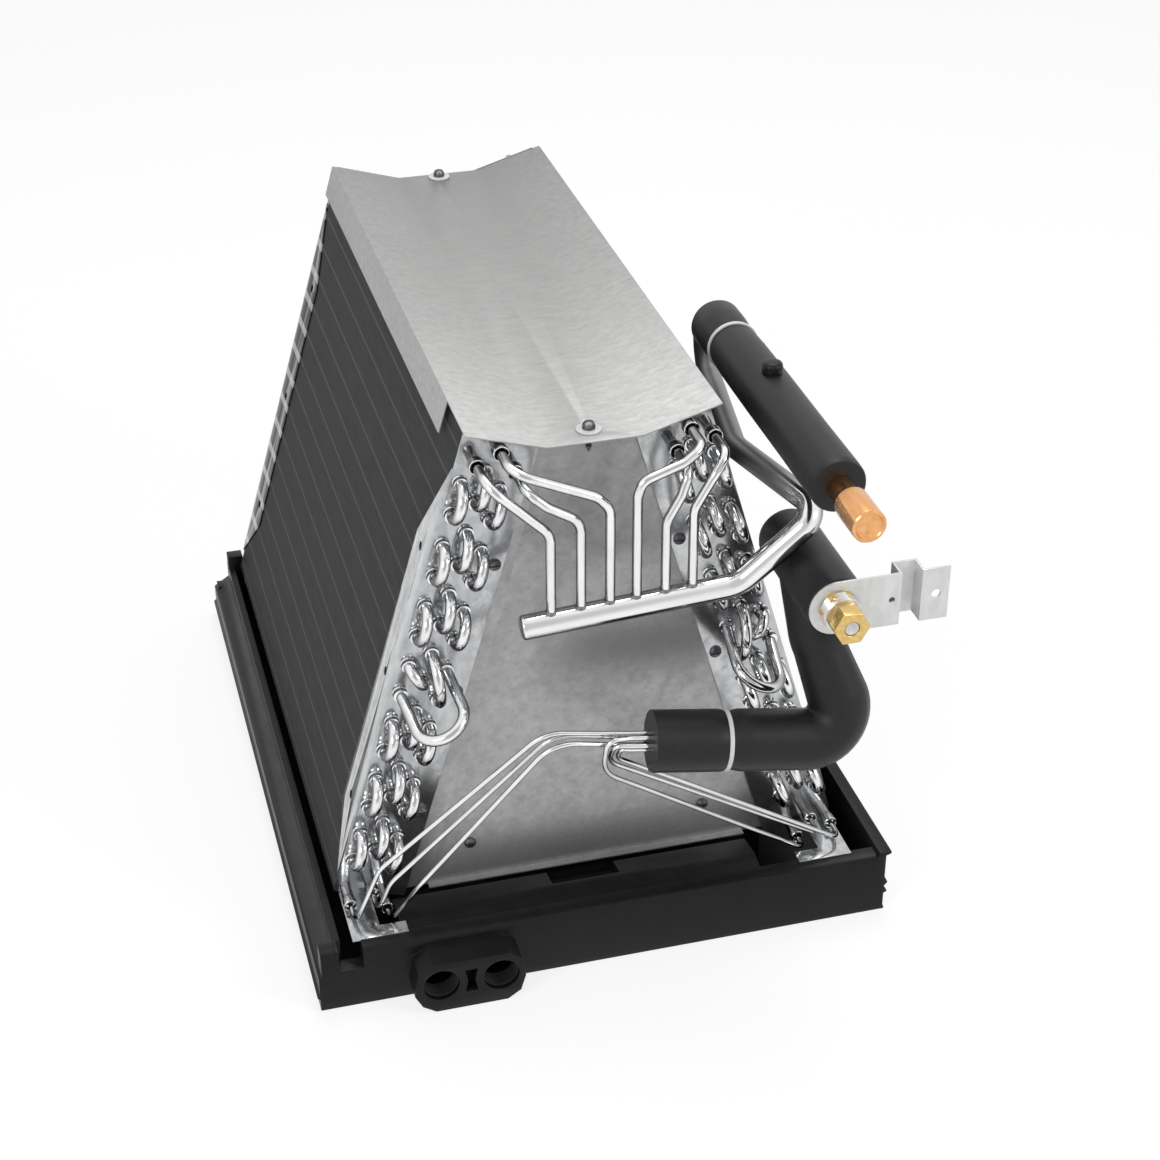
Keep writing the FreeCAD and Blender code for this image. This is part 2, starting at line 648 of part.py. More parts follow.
def make_feeders():
    """The six outlet tubes from the slabs' top tube ends down to the header."""
    run = (laid_out(HEADER_RIGHT) - laid_out(HEADER_LEFT)).normalize()
    above = Vector(-run.z, 0, run.x)
    flat = size("header_radius") * math.cos(math.pi / 12)
    for index, (name, row, route) in enumerate(FEEDERS, 1):
        mouth = tube_end(SIDES[name], row, 1, size("sheet_front") - size("stub_reach"))
        points = [mouth - MOUTH_GAP, Vector(mouth.x, route[0][1], mouth.z)]
        points += [laid_out(place) for place in route[1:]]
        foot = on_header(points[-1].x) + Vector(0, 0, flat / above.z)
        points.append(foot)
        radii = [size("feeder_bend")] * (len(points) - 2)
        path = rounded_route(points, radii, 30)
        add_shape(f"feeder_tube_{index}", [many_sided_tube(path, size("feeder_radius"), 8, above)])


def make_suction_line():
    """Header, riser and return leg, then the straight length in its sleeve with the swaged stub."""
    radius = size("header_radius")
    top = Vector(size("suction_x"), size("sleeve_back"), size("suction_z"))
    low = top + Vector(RETURN_LEAN, 0, -2 * RETURN_TURN)
    beyond = Vector(0, RETURN_TURN + 2.0, 0)
    points = [laid_out(place) for place in [HEADER_LEFT, HEADER_RIGHT] + RISER]
    points += [low + beyond, top + beyond, top]
    radii = HEADER_BENDS + [RETURN_TURN - 1.5] * 2
    path = rounded_route(points, radii, 22.5)
    add_shape("suction_header", [many_sided_tube(path, radius, 12)])
    body = new_body("suction_stub")
    body.Placement = Placement(Vector(), Rotation())
    body.setExpression("Placement.Base.x", bound("suction_x"))
    body.setExpression("Placement.Base.z", bound("suction_z"))
    profile = [("0", "sleeve_back"), ("header_radius", "sleeve_back"),
               ("header_radius", "stub_front + stub_length + stub_taper"),
               ("stub_radius", "stub_front + stub_length"), ("stub_radius", "stub_front"),
               ("0", "stub_front")]
    sketch = new_sketch(body, "stub_profile", "XY_Plane", "0")
    add_outline(sketch, profile)
    turned = body.newObject("PartDesign::Revolution", "stub_turned")
    turned.Profile = sketch
    turned.ReferenceAxis = (sketch, ["V_Axis"])
    turned.Angle = 360
    sleeve = doc.addObject("Part::Cut", "foam_sleeve_suction")
    sleeve.Label = "foam_sleeve_suction"
    for name, radius_text in (("foam_outer", "sleeve_radius"),
                              ("foam_bore", "header_radius + sleeve_bore_gap")):
        cylinder = doc.addObject("Part::Cylinder", name)
        cylinder.Placement = Placement(Vector(), Rotation(Vector(1, 0, 0), -90))
        cylinder.setExpression("Radius", bound(radius_text))
        cylinder.setExpression("Height", bound("sleeve_length"))
        cylinder.setExpression("Placement.Base.x", bound("suction_x"))
        cylinder.setExpression("Placement.Base.y", bound("sleeve_front"))
        cylinder.setExpression("Placement.Base.z", bound("suction_z"))
    sleeve.Base = doc.getObject("foam_outer")
    sleeve.Tool = doc.getObject("foam_bore")
    SUB_PARTS.append(sleeve)


# The liquid sleeve's route from its open left end round the elbow and up to the valve's bulge.
LIQUID_LEFT = Vector(19.0, -45.0, 190.0)
LIQUID_ROUTE = [Vector(143.0, -57.0, 175.6), Vector(138.0, -35.0, 235.0)]
LIQUID_BENDS = [26.0, 30.0]
# The tie sits at this share of the level run.
LIQUID_TIE_SHARE = 0.4

# Distributor tubes by slab and row: hand-set points between the sleeve's end and the tube ends.
CAPILLARIES = [
    ("left", 1, [(-48.0, -38.0, 204.0), (-152.0, -12.0, 98.0), (-168.0, -6.0, 62.0)]),
    ("left", 2, [(-42.0, -36.0, 200.0), (-138.0, -14.0, 104.0), (-153.0, -6.0, 68.0)]),
    ("left", 3, [(-36.0, -42.0, 191.0), (-128.0, -22.0, 86.0), (-144.5, -1.0, 56.0)]),
    ("right", 1, [(0.0, -45.5, 188.0), (-1.0, -39.0, 176.0), (60.0, -20.0, 134.0), (165.0, -6.0, 64.0)]),
    ("right", 2, [(-5.0, -47.5, 192.5), (-6.0, -37.0, 171.0), (60.0, -15.0, 125.0), (150.0, -6.0, 70.0)]),
    ("right", 3, [(-10.0, -48.0, 197.5), (-11.0, -44.0, 168.0), (60.0, -10.0, 114.0), (142.0, -1.0, 58.0)]),
]


def make_liquid_line():
    """The foam-wrapped valve and elbow, and the six thin tubes from its open end."""
    valve = Vector(size("inlet_x"), -15.0, size("inlet_z"))
    rear = Vector(size("inlet_x"), size("liquid_sleeve_back"), size("inlet_z"))
    radius = size("liquid_sleeve_radius")
    left = laid_out(LIQUID_LEFT)
    route = [laid_out(place) for place in LIQUID_ROUTE]
    path = rounded_route([left] + route + [valve], LIQUID_BENDS, 22.5)
    bulge = [Vector(size("inlet_x"), size("inlet_back"), size("inlet_z")), rear]
    elbow = many_sided_tube(path, radius, 12)
    add_shape("foam_sleeve_liquid", [elbow.fuse(many_sided_tube(bulge, radius, 12)).removeSplitter()])
    away = (left - route[0]).normalize()
    level = away.cross(Vector(0, 0, 1)).normalize()
    for index, (name, row, places) in enumerate(CAPILLARIES):
        spread = Rotation(away, 60 * (index - 1)).multVec(level) * size("capillary_spread")
        start = left + spread
        mouth = tube_end(SIDES[name], row, 16, size("sheet_front") - size("stub_reach"))
        points = [start, start + away * size("capillary_lead")] + [laid_out(place) for place in places]
        points[-1] = Vector(mouth.x, points[-1].y, mouth.z)
        points += [mouth - MOUTH_GAP]
        bends = [bend_limit(points, place) for place in range(1, len(points) - 1)]
        tube = many_sided_tube(rounded_route(points, bends, 45), size("capillary_radius"), 6)
        add_shape(f"distributor_tube_{index + 1}", [tube])


def bend_limit(points, index):
    """The largest radius that a corner's two runs leave room for, up to a hand bend."""
    inward = points[index - 1] - points[index]
    outward = points[index + 1] - points[index]
    turn = math.pi - inward.getAngle(outward)
    room = 0.45 * min(inward.Length, outward.Length) / math.tan(turn / 2)
    return min(size("capillary_bend"), room)


def make_bracket():
    """The cranked sheet bracket that carries the inlet fitting."""
    body = new_body("inlet_bracket")
    low = "inlet_z - bracket_half_height"
    high = "inlet_z + bracket_half_height"
    rear = "bracket_front + bracket_step"
    arm = "inlet_x + bracket_arm"
    ending = "flange_start + bracket_flange_width"
    plan = [("inlet_x - bracket_half_height", "bracket_front"), (arm, "bracket_front"), (arm, rear),
            ("flange_start - bracket_thickness", rear),
            ("flange_start - bracket_thickness", "bracket_front"),
            (ending, "bracket_front"), (ending, "inlet_back"), ("flange_start", "inlet_back"),
            ("flange_start", f"{rear} + bracket_thickness"),
            (f"{arm} - bracket_thickness", f"{rear} + bracket_thickness"),
            (f"{arm} - bracket_thickness", "inlet_back"), ("inlet_x - bracket_half_height", "inlet_back")]
    sheet_pad = grow(body, "cranked_sheet", "XY_Plane", [plan], low, "2 * bracket_half_height")
    doc.recompute()
    left = size("inlet_x - bracket_half_height")
    across = [f"Edge{number}" for number, edge in enumerate(sheet_pad.Shape.Edges, 1)
              if abs(edge.BoundBox.XMax - left) < 0.01 and edge.BoundBox.ZLength < 0.01]
    rounded_end = body.newObject("PartDesign::Fillet", "rounded_end")
    rounded_end.Base = (sheet_pad, across)
    rounded_end.setExpression("Radius", bound("bracket_half_height - fit_gap"))
    holes = [(("inlet_x", "inlet_z"), "fitting_stem_radius"), (("inlet_x + 35.4", "inlet_z"), "2"),
             (("flange_start + bracket_flange_width / 2", "inlet_z"), "bracket_hole_radius")]
    cut(body, "bracket_holes", "XZ_Plane", "bracket_front - 1", "bracket_thickness + 2", circles=holes)


def turned_piece(label, kind, radius, length, front):
    """A round or six-sided piece on the inlet's axis, from its front face back."""
    piece = doc.addObject(kind, label)
    piece.Label = label
    piece.Placement = Placement(Vector(), Rotation(Vector(1, 0, 0), -90))
    piece.setExpression("Circumradius" if kind == "Part::Prism" else "Radius", bound(radius))
    piece.setExpression("Height", bound(length))
    for axis, text in zip("xyz", ("inlet_x", front, "inlet_z")):
        piece.setExpression(f"Placement.Base.{axis}", bound(text))
    return piece


def make_fitting():
    """The inlet's hexagon and stem in the bracket, its threaded neck, flare nut and sealing plug."""
    hexagon = turned_piece("fitting_hexagon", "Part::Prism", "fitting_hex_radius", "fitting_hex_length",
                           "bracket_front - fitting_hex_length")
    stem = turned_piece("fitting_stem", "Part::Cylinder", "fitting_stem_radius - fit_gap",
                        "bracket_thickness", "bracket_front")
    neck = turned_piece("fitting_neck", "Part::Cylinder", "thread_radius", "thread_length",
                        "bracket_front - fitting_hex_length - thread_length")
    body = doc.addObject("Part::MultiFuse", "liquid_fitting")
    body.Label = "liquid_fitting"
    body.Shapes = [hexagon, stem, neck]
    SUB_PARTS.append(body)
    front = "bracket_front - fitting_hex_length - thread_length - nut_length"
    nut = doc.addObject("Part::Cut", "flare_nut")
    nut.Label = "flare_nut"
    nut.Base = turned_piece("nut_hexagon", "Part::Prism", "nut_hex_radius", "nut_length", front)
    nut.Tool = turned_piece("nut_bore", "Part::Cylinder", "nut_bore_radius", "nut_bore_length", front)
    SUB_PARTS.append(nut)
    SUB_PARTS.append(turned_piece("sealing_plug", "Part::Cylinder", "plug_radius", "plug_length",
                                  f"{front} + nut_bore_length - plug_length"))


def add_ring(label, inner, width, middle, axis):
    """A flat band round a sleeve."""
    start = middle - axis * (width / 2)
    outer = Part.makeCylinder(inner + size("tie_thickness"), width, start, axis)
    hollow = Part.makeCylinder(inner, width, start, axis)
    add_shape(label, [outer.cut(hollow)])


def make_ties_and_port():
    """The two cable ties and the service port's cap on the suction sleeve."""
    width = size("tie_width")
    middle = Vector(size("suction_x"), size("tie_back"), size("suction_z"))
    add_ring("cable_tie_suction", size("sleeve_radius + tie_gap"), width, middle, Vector(0, 1, 0))
    left = laid_out(LIQUID_LEFT)
    run = laid_out(LIQUID_ROUTE[0]) - left
    middle = left + run * LIQUID_TIE_SHARE
    add_ring("cable_tie_liquid", size("liquid_sleeve_radius + tie_gap"), width, middle, run.normalize())
    base = Vector(size("suction_x"), size("port_y"), size("suction_z"))
    top = size("sleeve_radius + port_cap_height")
    cap = Part.makeCylinder(size("port_cap_radius"), top, base, Vector(0, 0, 1))
    reach = size("port_cap_radius") + 1
    start = base - Vector(0, reach, 0)
    around = Part.makeCylinder(size("sleeve_radius + tie_gap"), 2 * reach, start, Vector(0, 1, 0))
    add_shape("service_port_cap", [cap.cut(around)])


def screw_head(seat, toward):
    """A six-sided head that stands on its seat, away from where the screw goes."""
    first = Vector(size("screw_head_radius"), 0, 0)
    corners = [Rotation(Vector(0, 0, 1), 60 * index).multVec(first) for index in range(7)]
    prism = Part.Face(Part.makePolygon(corners)).extrude(Vector(0, 0, size("screw_head_height")))
    prism.Placement = Placement(seat, Rotation(Vector(0, 0, 1), toward * -1))
    return prism


def make_screws():
    """Sheet screws on the front strips and delta plate, and the two cover screws with their washers."""
    heads = []
    for side in SIDES.values():
        for index in range(3):
            along = f"strip_screw_low + {index} * strip_screw_spacing"
            across, height = world("slab_depth + strip_lap / 2", along, side)
            seat = Vector(size(across), size("sheet_front"), size(height))
            heads.append(screw_head(seat, Vector(0, 1, 0)))
    add_shape("sheet_screws", heads)
    height = size("slab_foot_height + delta_screw_height")
    low = [screw_head(Vector(side * size("delta_screw_half"), size("fin_front"), height), Vector(0, 1, 0))
           for side in SIDES.values()]
    add_shape("delta_screws", low)
    level = size("cover_under + cover_thickness")
    down = Vector(0, 0, -1)
    washers = []
    tops = []
    for place in SCREW_PLACE.values():
        foot = Vector(0, size(place), level)
        seat = foot - down * size("washer_thickness")
        disc = Part.makeCylinder(size("washer_radius"), size("washer_thickness"), foot)
        hole = Part.makeCylinder(size("screw_hole_radius"), size("washer_thickness"), foot)
        washers.append(disc.cut(hole))
        shank = Part.makeCylinder(size("screw_radius"), size("screw_length"), seat, down)
        tops.append(screw_head(seat, down).fuse(shank))
    add_shape("cover_washers", washers)
    add_shape("cover_screws", tops)


def main():
    """Builds every sub-part, checks it and writes it."""
    for name, side in SIDES.items():
        make_fin_block(name, side)
        make_tube_sheet(name, side, "front", "sheet_front")
        make_tube_sheet(name, side, "back", "fin_back")
        make_slab_tubes(name, side)
    make_delta_plate("front", "fin_front", -1)
    make_delta_plate("back", "fin_back - sheet_thickness", 1)
    make_cover()
    make_pan()
    make_feeders()
    make_suction_line()
    make_liquid_line()
    make_bracket()
    make_fitting()
    make_ties_and_port()
    make_screws()
    doc.recompute()
    for item in doc.Objects:
        if "Invalid" in item.State or "Error" in item.State:
            raise ValueError(f"{item.Name} has failed")
    os.makedirs("parts", exist_ok=True)
    for part in SUB_PARTS:
        if part.Shape.isNull() or not part.Shape.isValid():
            raise ValueError(f"{part.Label} has no valid shape")
        part.Shape.exportStep(f"parts/{part.Label}.step")


main()
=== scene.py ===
"""Looks of an a-coil evaporator: leaning fin slabs with tube circuits, lines, cover and drain pan."""
import json
import logging
import math
from collections.abc import Callable, Iterator, Sequence
from contextlib import contextmanager
from dataclasses import dataclass, field, replace
from enum import Enum

import bmesh
import bpy
from mathutils import Matrix, Vector

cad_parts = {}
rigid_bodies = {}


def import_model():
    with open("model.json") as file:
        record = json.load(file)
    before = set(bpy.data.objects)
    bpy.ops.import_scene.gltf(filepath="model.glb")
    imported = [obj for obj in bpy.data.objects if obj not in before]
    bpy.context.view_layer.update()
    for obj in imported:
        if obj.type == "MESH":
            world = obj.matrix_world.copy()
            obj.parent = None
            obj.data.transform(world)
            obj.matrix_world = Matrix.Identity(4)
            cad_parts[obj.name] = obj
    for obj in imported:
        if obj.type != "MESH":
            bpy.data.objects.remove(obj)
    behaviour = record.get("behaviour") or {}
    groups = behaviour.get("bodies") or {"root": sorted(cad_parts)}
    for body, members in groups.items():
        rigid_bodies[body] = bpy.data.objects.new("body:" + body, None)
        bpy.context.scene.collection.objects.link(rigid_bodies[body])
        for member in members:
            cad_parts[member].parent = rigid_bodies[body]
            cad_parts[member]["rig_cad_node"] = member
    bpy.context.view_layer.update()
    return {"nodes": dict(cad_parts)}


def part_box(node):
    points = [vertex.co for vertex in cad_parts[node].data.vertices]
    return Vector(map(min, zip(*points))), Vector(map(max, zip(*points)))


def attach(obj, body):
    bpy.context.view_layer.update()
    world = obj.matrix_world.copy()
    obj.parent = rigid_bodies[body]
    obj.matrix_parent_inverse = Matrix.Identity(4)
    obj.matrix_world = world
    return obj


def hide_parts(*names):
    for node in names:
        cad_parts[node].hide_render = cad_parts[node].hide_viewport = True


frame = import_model()
LOG = logging.getLogger("coil")
MM = 0.001
FORWARD = Vector((0, -1, 0))
UPWARD = Vector((0, 0, 1))
Tone = tuple[float, float, float]


class Side(Enum):
    """The two slabs, by the sign of the X axis on which each stands."""

    LEFT = -1
    RIGHT = 1

    @property
    def word(self) -> str:
        """The side's name as the node names write it."""
        return self.name.lower()


# --- Workbench: selection, copies and the few shaping moves that all pieces share ---


def only(*pieces: bpy.types.Object) -> None:
    """Selects these pieces and nothing else, and makes the first one active."""
    bpy.ops.object.select_all(action="DESELECT")
    for piece in pieces:
        piece.select_set(True)
    bpy.context.view_layer.objects.active = pieces[0]


@contextmanager
def on_the_bench(piece: bpy.types.Object) -> Iterator[None]:
    """Opens one piece in edit mode with everything deselected.

    Args:
        piece: The mesh piece to work on.
    """
    only(piece)
    bpy.ops.object.mode_set(mode="EDIT")
    bpy.ops.mesh.select_all(action="DESELECT")
    yield
    bpy.ops.object.mode_set(mode="OBJECT")


def pick(piece: bpy.types.Object, kind: str, wanted: Callable[..., bool]) -> None:
    """Selects the parts of an open piece that a test accepts.

    Args:
        piece: The piece that is open in edit mode.
        kind: Which parts to test: verts, edges or faces.
        wanted: The test of one part.
    """
    mesh = bmesh.from_edit_mesh(piece.data)
    mode = {"verts": "VERT", "edges": "EDGE", "faces": "FACE"}[kind]
    bpy.ops.mesh.select_mode(type=mode)
    for part in getattr(mesh, kind):
        part.select_set(wanted(part))
    mesh.select_flush_mode()
    bmesh.update_edit_mesh(piece.data)


def face_outwards(piece: bpy.types.Object) -> None:
    """Merges doubled points and turns every face outwards."""
    with on_the_bench(piece):
        bpy.ops.mesh.select_all(action="SELECT")
        bpy.ops.mesh.remove_doubles(threshold=0.01 * MM)
        bpy.ops.mesh.normals_make_consistent(inside=False)


def apply_place(piece: bpy.types.Object) -> None:
    """Moves the piece's place, turn and scale into its mesh."""
    only(piece)
    bpy.ops.object.transform_apply(location=True, rotation=True, scale=True)


def apply_modifier(piece: bpy.types.Object, kind: str, **settings: object) -> None:
    """Adds one modifier with its settings and applies it.

    Args:
        piece: The piece to change.
        kind: The modifier's type.
        **settings: The modifier's own settings.
    """
    only(piece)
    modifier = piece.modifiers.new(kind.lower(), kind)
    for name, value in settings.items():
        setattr(modifier, name, value)
    bpy.ops.object.modifier_apply(modifier=modifier.name)


def soften(piece: bpy.types.Object, width: float, segments: int = 2, angle: float = 30.0) -> None:
    """Rounds the piece's sharp edges and smooths its shading.

    Args:
        piece: The piece to soften.
        width: The bevel's width in metres.
        segments: How many steps the bevel has.
        angle: The least angle in degrees between faces whose edge is rounded.
    """
    apply_modifier(piece, "BEVEL", width=width, segments=segments, limit_method="ANGLE",
                   angle_limit=math.radians(angle), use_clamp_overlap=True)
    smooth(piece)


def smooth(piece: bpy.types.Object, angle: float = 35.0) -> None:
    """Smooths the shading across edges flatter than the angle."""
    only(piece)
    bpy.ops.object.shade_smooth_by_angle(angle=math.radians(angle))


def copy_to(master: bpy.types.Object, place: Matrix) -> bpy.types.Object:
    """A copy of a finished master with its own mesh, moved to its place.

    Args:
        master: The piece that is repeated.
        place: Where the copy goes.

    Returns:
        The copy, with its place in its mesh.
    """
    only(master)
    bpy.ops.object.duplicate()
    copy = bpy.context.active_object
    copy.matrix_world = place @ copy.matrix_world
    apply_place(copy)
    return copy


def join(pieces: list[bpy.types.Object]) -> bpy.types.Object:
    """Joins pieces that one node holds into one object."""
    only(*pieces)
    if len(pieces) > 1:
        bpy.ops.object.join()
    return bpy.context.active_object


def repeated(master: bpy.types.Object, places: list[Matrix]) -> bpy.types.Object:
    """Copies of a master joined into one object, in place of the master.

    Args:
        master: The piece that is repeated.
        places: Where the copies go.

    Returns:
        The joined copies.
    """
    copies = [copy_to(master, place) for place in places]
    bpy.data.objects.remove(master)
    return join(copies)


def axes_place(origin: Vector, up: Vector, forward: Vector) -> Matrix:
    """A place whose Z runs along up and whose Y lies as near forward as it can.

    Args:
        origin: Where the place stands.
        up: The direction of its Z axis.
        forward: The direction that its Y axis leans towards.

    Returns:
        The place as a matrix.
    """
    upward = up.normalized()
    across = forward.cross(upward).normalized()
    ahead = upward.cross(across)
    turn = Matrix((across, ahead, upward)).transposed()
    return Matrix.Translation(origin) @ turn.to_4x4()


def along_y(spot: Vector, way: int = 1) -> Matrix:
    """A place whose Z runs to the back, or to the front where the way is -1."""
    return axes_place(spot, Vector((0, way, 0)), UPWARD)


def bridge(first: Vector, second: Vector, outward: Vector) -> Matrix:
    """The place of a bend between an upper and a lower tube end.

    Args:
        first: The upper tube end.
        second: The lower tube end.
        outward: The way that the bow points.

    Returns:
        The place as a matrix.
    """
    return axes_place((first + second) / 2, first - second, -outward)


def mm(x: float, y: float, z: float) -> Vector:
    """A point given in millimetres."""
    return Vector((x, y, z)) * MM


def ring(sides: int, radius: float, place: Tone, turn: Tone = (0, 0, 0)) -> bpy.types.Object:
    """An open ring of edges.

    Args:
        sides: How many sides the ring has.
        radius: The ring's radius.
        place: The ring's middle.
        turn: The ring's turn about X, Y and Z.

    Returns:
        The ring, with its place in its mesh.
    """
    bpy.ops.object.select_all(action="DESELECT")
    bpy.ops.mesh.primitive_circle_add(vertices=sides, radius=radius, fill_type="NOTHING", location=place,
                                      rotation=turn)
    piece = bpy.context.active_object
    apply_place(piece)
    return piece


def block(size: Tone, place: Tone = (0, 0, 0)) -> bpy.types.Object:
    """A rectangular block of a size about a place."""
    bpy.ops.object.select_all(action="DESELECT")
    bpy.ops.mesh.primitive_cube_add(size=1, location=place, scale=size)
    piece = bpy.context.active_object
    apply_place(piece)
    return piece


def turned(rings: list[tuple[float, float]], sides: int = 32) -> bpy.types.Object:
    """A round piece turned on its own Z axis, ring after ring, and closed at both ends.

    Args:
        rings: Radius and height of each ring, in metres.
        sides: How many sides the turning has.

    Returns:
        The piece, at the origin.
    """
    radius, height = rings[0]
    piece = ring(sides, radius, (0, 0, height))
    with on_the_bench(piece):
        bpy.ops.mesh.select_mode(type="EDGE")
        bpy.ops.mesh.select_all(action="SELECT")
        for wider, higher in rings[1:]:
            bpy.ops.mesh.extrude_region_move(TRANSFORM_OT_translate={"value": (0, 0, higher - height)})
            scale = wider / radius
            bpy.ops.transform.resize(value=(scale, scale, 1), center_override=(0, 0, higher))
            radius, height = wider, higher
        bpy.ops.mesh.edge_face_add()
        bpy.ops.mesh.select_all(action="DESELECT")
        bpy.ops.mesh.select_non_manifold()
        bpy.ops.mesh.edge_face_add()
    face_outwards(piece)
    smooth(piece)
    return piece


def bent_tube(corners: list[Vector], bends: list[float], radius: float, step: int = 10,
              swell: tuple[float, ...] = ()) -> bpy.types.Object:
    """A round tube along straight runs with a true arc at each corner.

    Args:
        corners: The run's ends and corners in order.
        bends: The bend radius at each inner corner.
        radius: The tube's own radius.
        step: How many divisions each run and each arc has.
        swell: The tube's thickness at each end and each side of a corner, as shares of its radius.

    Returns:
        The tube as a closed mesh.
    """
    knots = [(corners[0], None, None)]
    for index, bend in enumerate(bends, 1):
        corner = corners[index]
        inward = (corners[index - 1] - corner).normalized()
        outward = (corners[index + 1] - corner).normalized()
        turn = math.pi - inward.angle(outward)
        reach = bend * math.tan(turn / 2)
        handle = 4 / 3 * math.tan(turn / 4) * bend
        start = corner + inward * reach
        end = corner + outward * reach
        knots.append((start, None, start - inward * handle))
        knots.append((end, end - outward * handle, None))
    knots.append((corners[-1], None, None))
    curve = bpy.data.curves.new("run", "CURVE")
    curve.dimensions = "3D"
    curve.bevel_depth = radius
    curve.bevel_resolution = 5
    curve.resolution_u = step
    curve.use_fill_caps = True
    spline = curve.splines.new("BEZIER")
    spline.bezier_points.add(len(knots) - 1)
    for index, (place, before, after) in enumerate(knots):
        point = spline.bezier_points[index]
        point.handle_left_type = point.handle_right_type = "FREE"
        point.radius = swell[index] if swell else 1.0
        point.co = place
        earlier = knots[index - 1][0] if index else place
        later = knots[index + 1][0] if index + 1 < len(knots) else place
        point.handle_left = before or place.lerp(earlier, 1 / 3)
        point.handle_right = after or place.lerp(later, 1 / 3)
    piece = bpy.data.objects.new("run", curve)
    bpy.context.scene.collection.objects.link(piece)
    only(piece)
    bpy.ops.object.convert(target="MESH")
    piece = bpy.context.active_object
    face_outwards(piece)
    smooth(piece, 50)
    return piece


def hand_bends(corners: list[Vector], largest: float) -> list[float]:
    """The radius at each inner corner: a hand bend's, or as much as its two runs leave room for.

    Args:
        corners: The tube's ends and corners.
        largest: The hand bend's radius.

    Returns:
        The radii in order.
    """
    radii = []
    for before, corner, after in zip(corners, corners[1:], corners[2:]):
        inward = before - corner
        outward = after - corner
        turn = math.pi - inward.angle(outward)
        radii.append(min(largest, 0.45 * min(inward.length, outward.length) / math.tan(turn / 2)))
    return radii


def u_bend(span: float, leg: float, radius: float, sides: int = 16, steps: int = 12) -> bpy.types.Object:
    """A U bend whose ends stand half the span above and below its own origin and whose bow points to minus Y.

    Args:
        span: The distance between the two ends.
        leg: The straight length before the bow.
        radius: The tube's radius.
        sides: How many sides the tube has.
        steps: How many steps the bow has.

    Returns:
        The bend, at the origin.
    """
    piece = ring(sides, radius, (0, 0, span / 2), (math.pi / 2, 0, 0))
    with on_the_bench(piece):
        bpy.ops.mesh.select_mode(type="EDGE")
        bpy.ops.mesh.select_all(action="SELECT")
        bpy.ops.mesh.extrude_region_move(TRANSFORM_OT_translate={"value": (0, -leg, 0)})
        bpy.ops.mesh.spin(steps=steps, angle=-math.pi, center=(0, -leg, 0), axis=(1, 0, 0))
        bpy.ops.mesh.extrude_region_move(TRANSFORM_OT_translate={"value": (0, leg, 0)})
    face_outwards(piece)
    smooth(piece, 50)
    return piece


def dressed_copy(node: str, width: float, segments: int = 2) -> bpy.types.Object:
    """A merged copy of a rigid CAD node with its edges softened.

    Args:
        node: The CAD node's name.
        width: The width of the softened edges.
        segments: How many steps each softened edge has.

    Returns:
        The copy, which still has to be finished.
    """
    only(frame["nodes"][node])
    bpy.ops.object.duplicate()
    piece = bpy.context.active_object
    piece.name = f"{node}_look"
    del piece["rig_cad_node"]
    only(piece)
    bpy.ops.mesh.customdata_custom_splitnormals_clear()
    with on_the_bench(piece):
        bpy.ops.mesh.select_all(action="SELECT")
        bpy.ops.mesh.remove_doubles(threshold=0.005 * MM)
        bpy.ops.mesh.dissolve_limited(angle_limit=math.radians(0.5))
        bpy.ops.mesh.normals_make_consistent(inside=False)
    soften(piece, width, segments)
    return piece


# --- Finishes: shader groups for the shared effects and one material for each surface ---


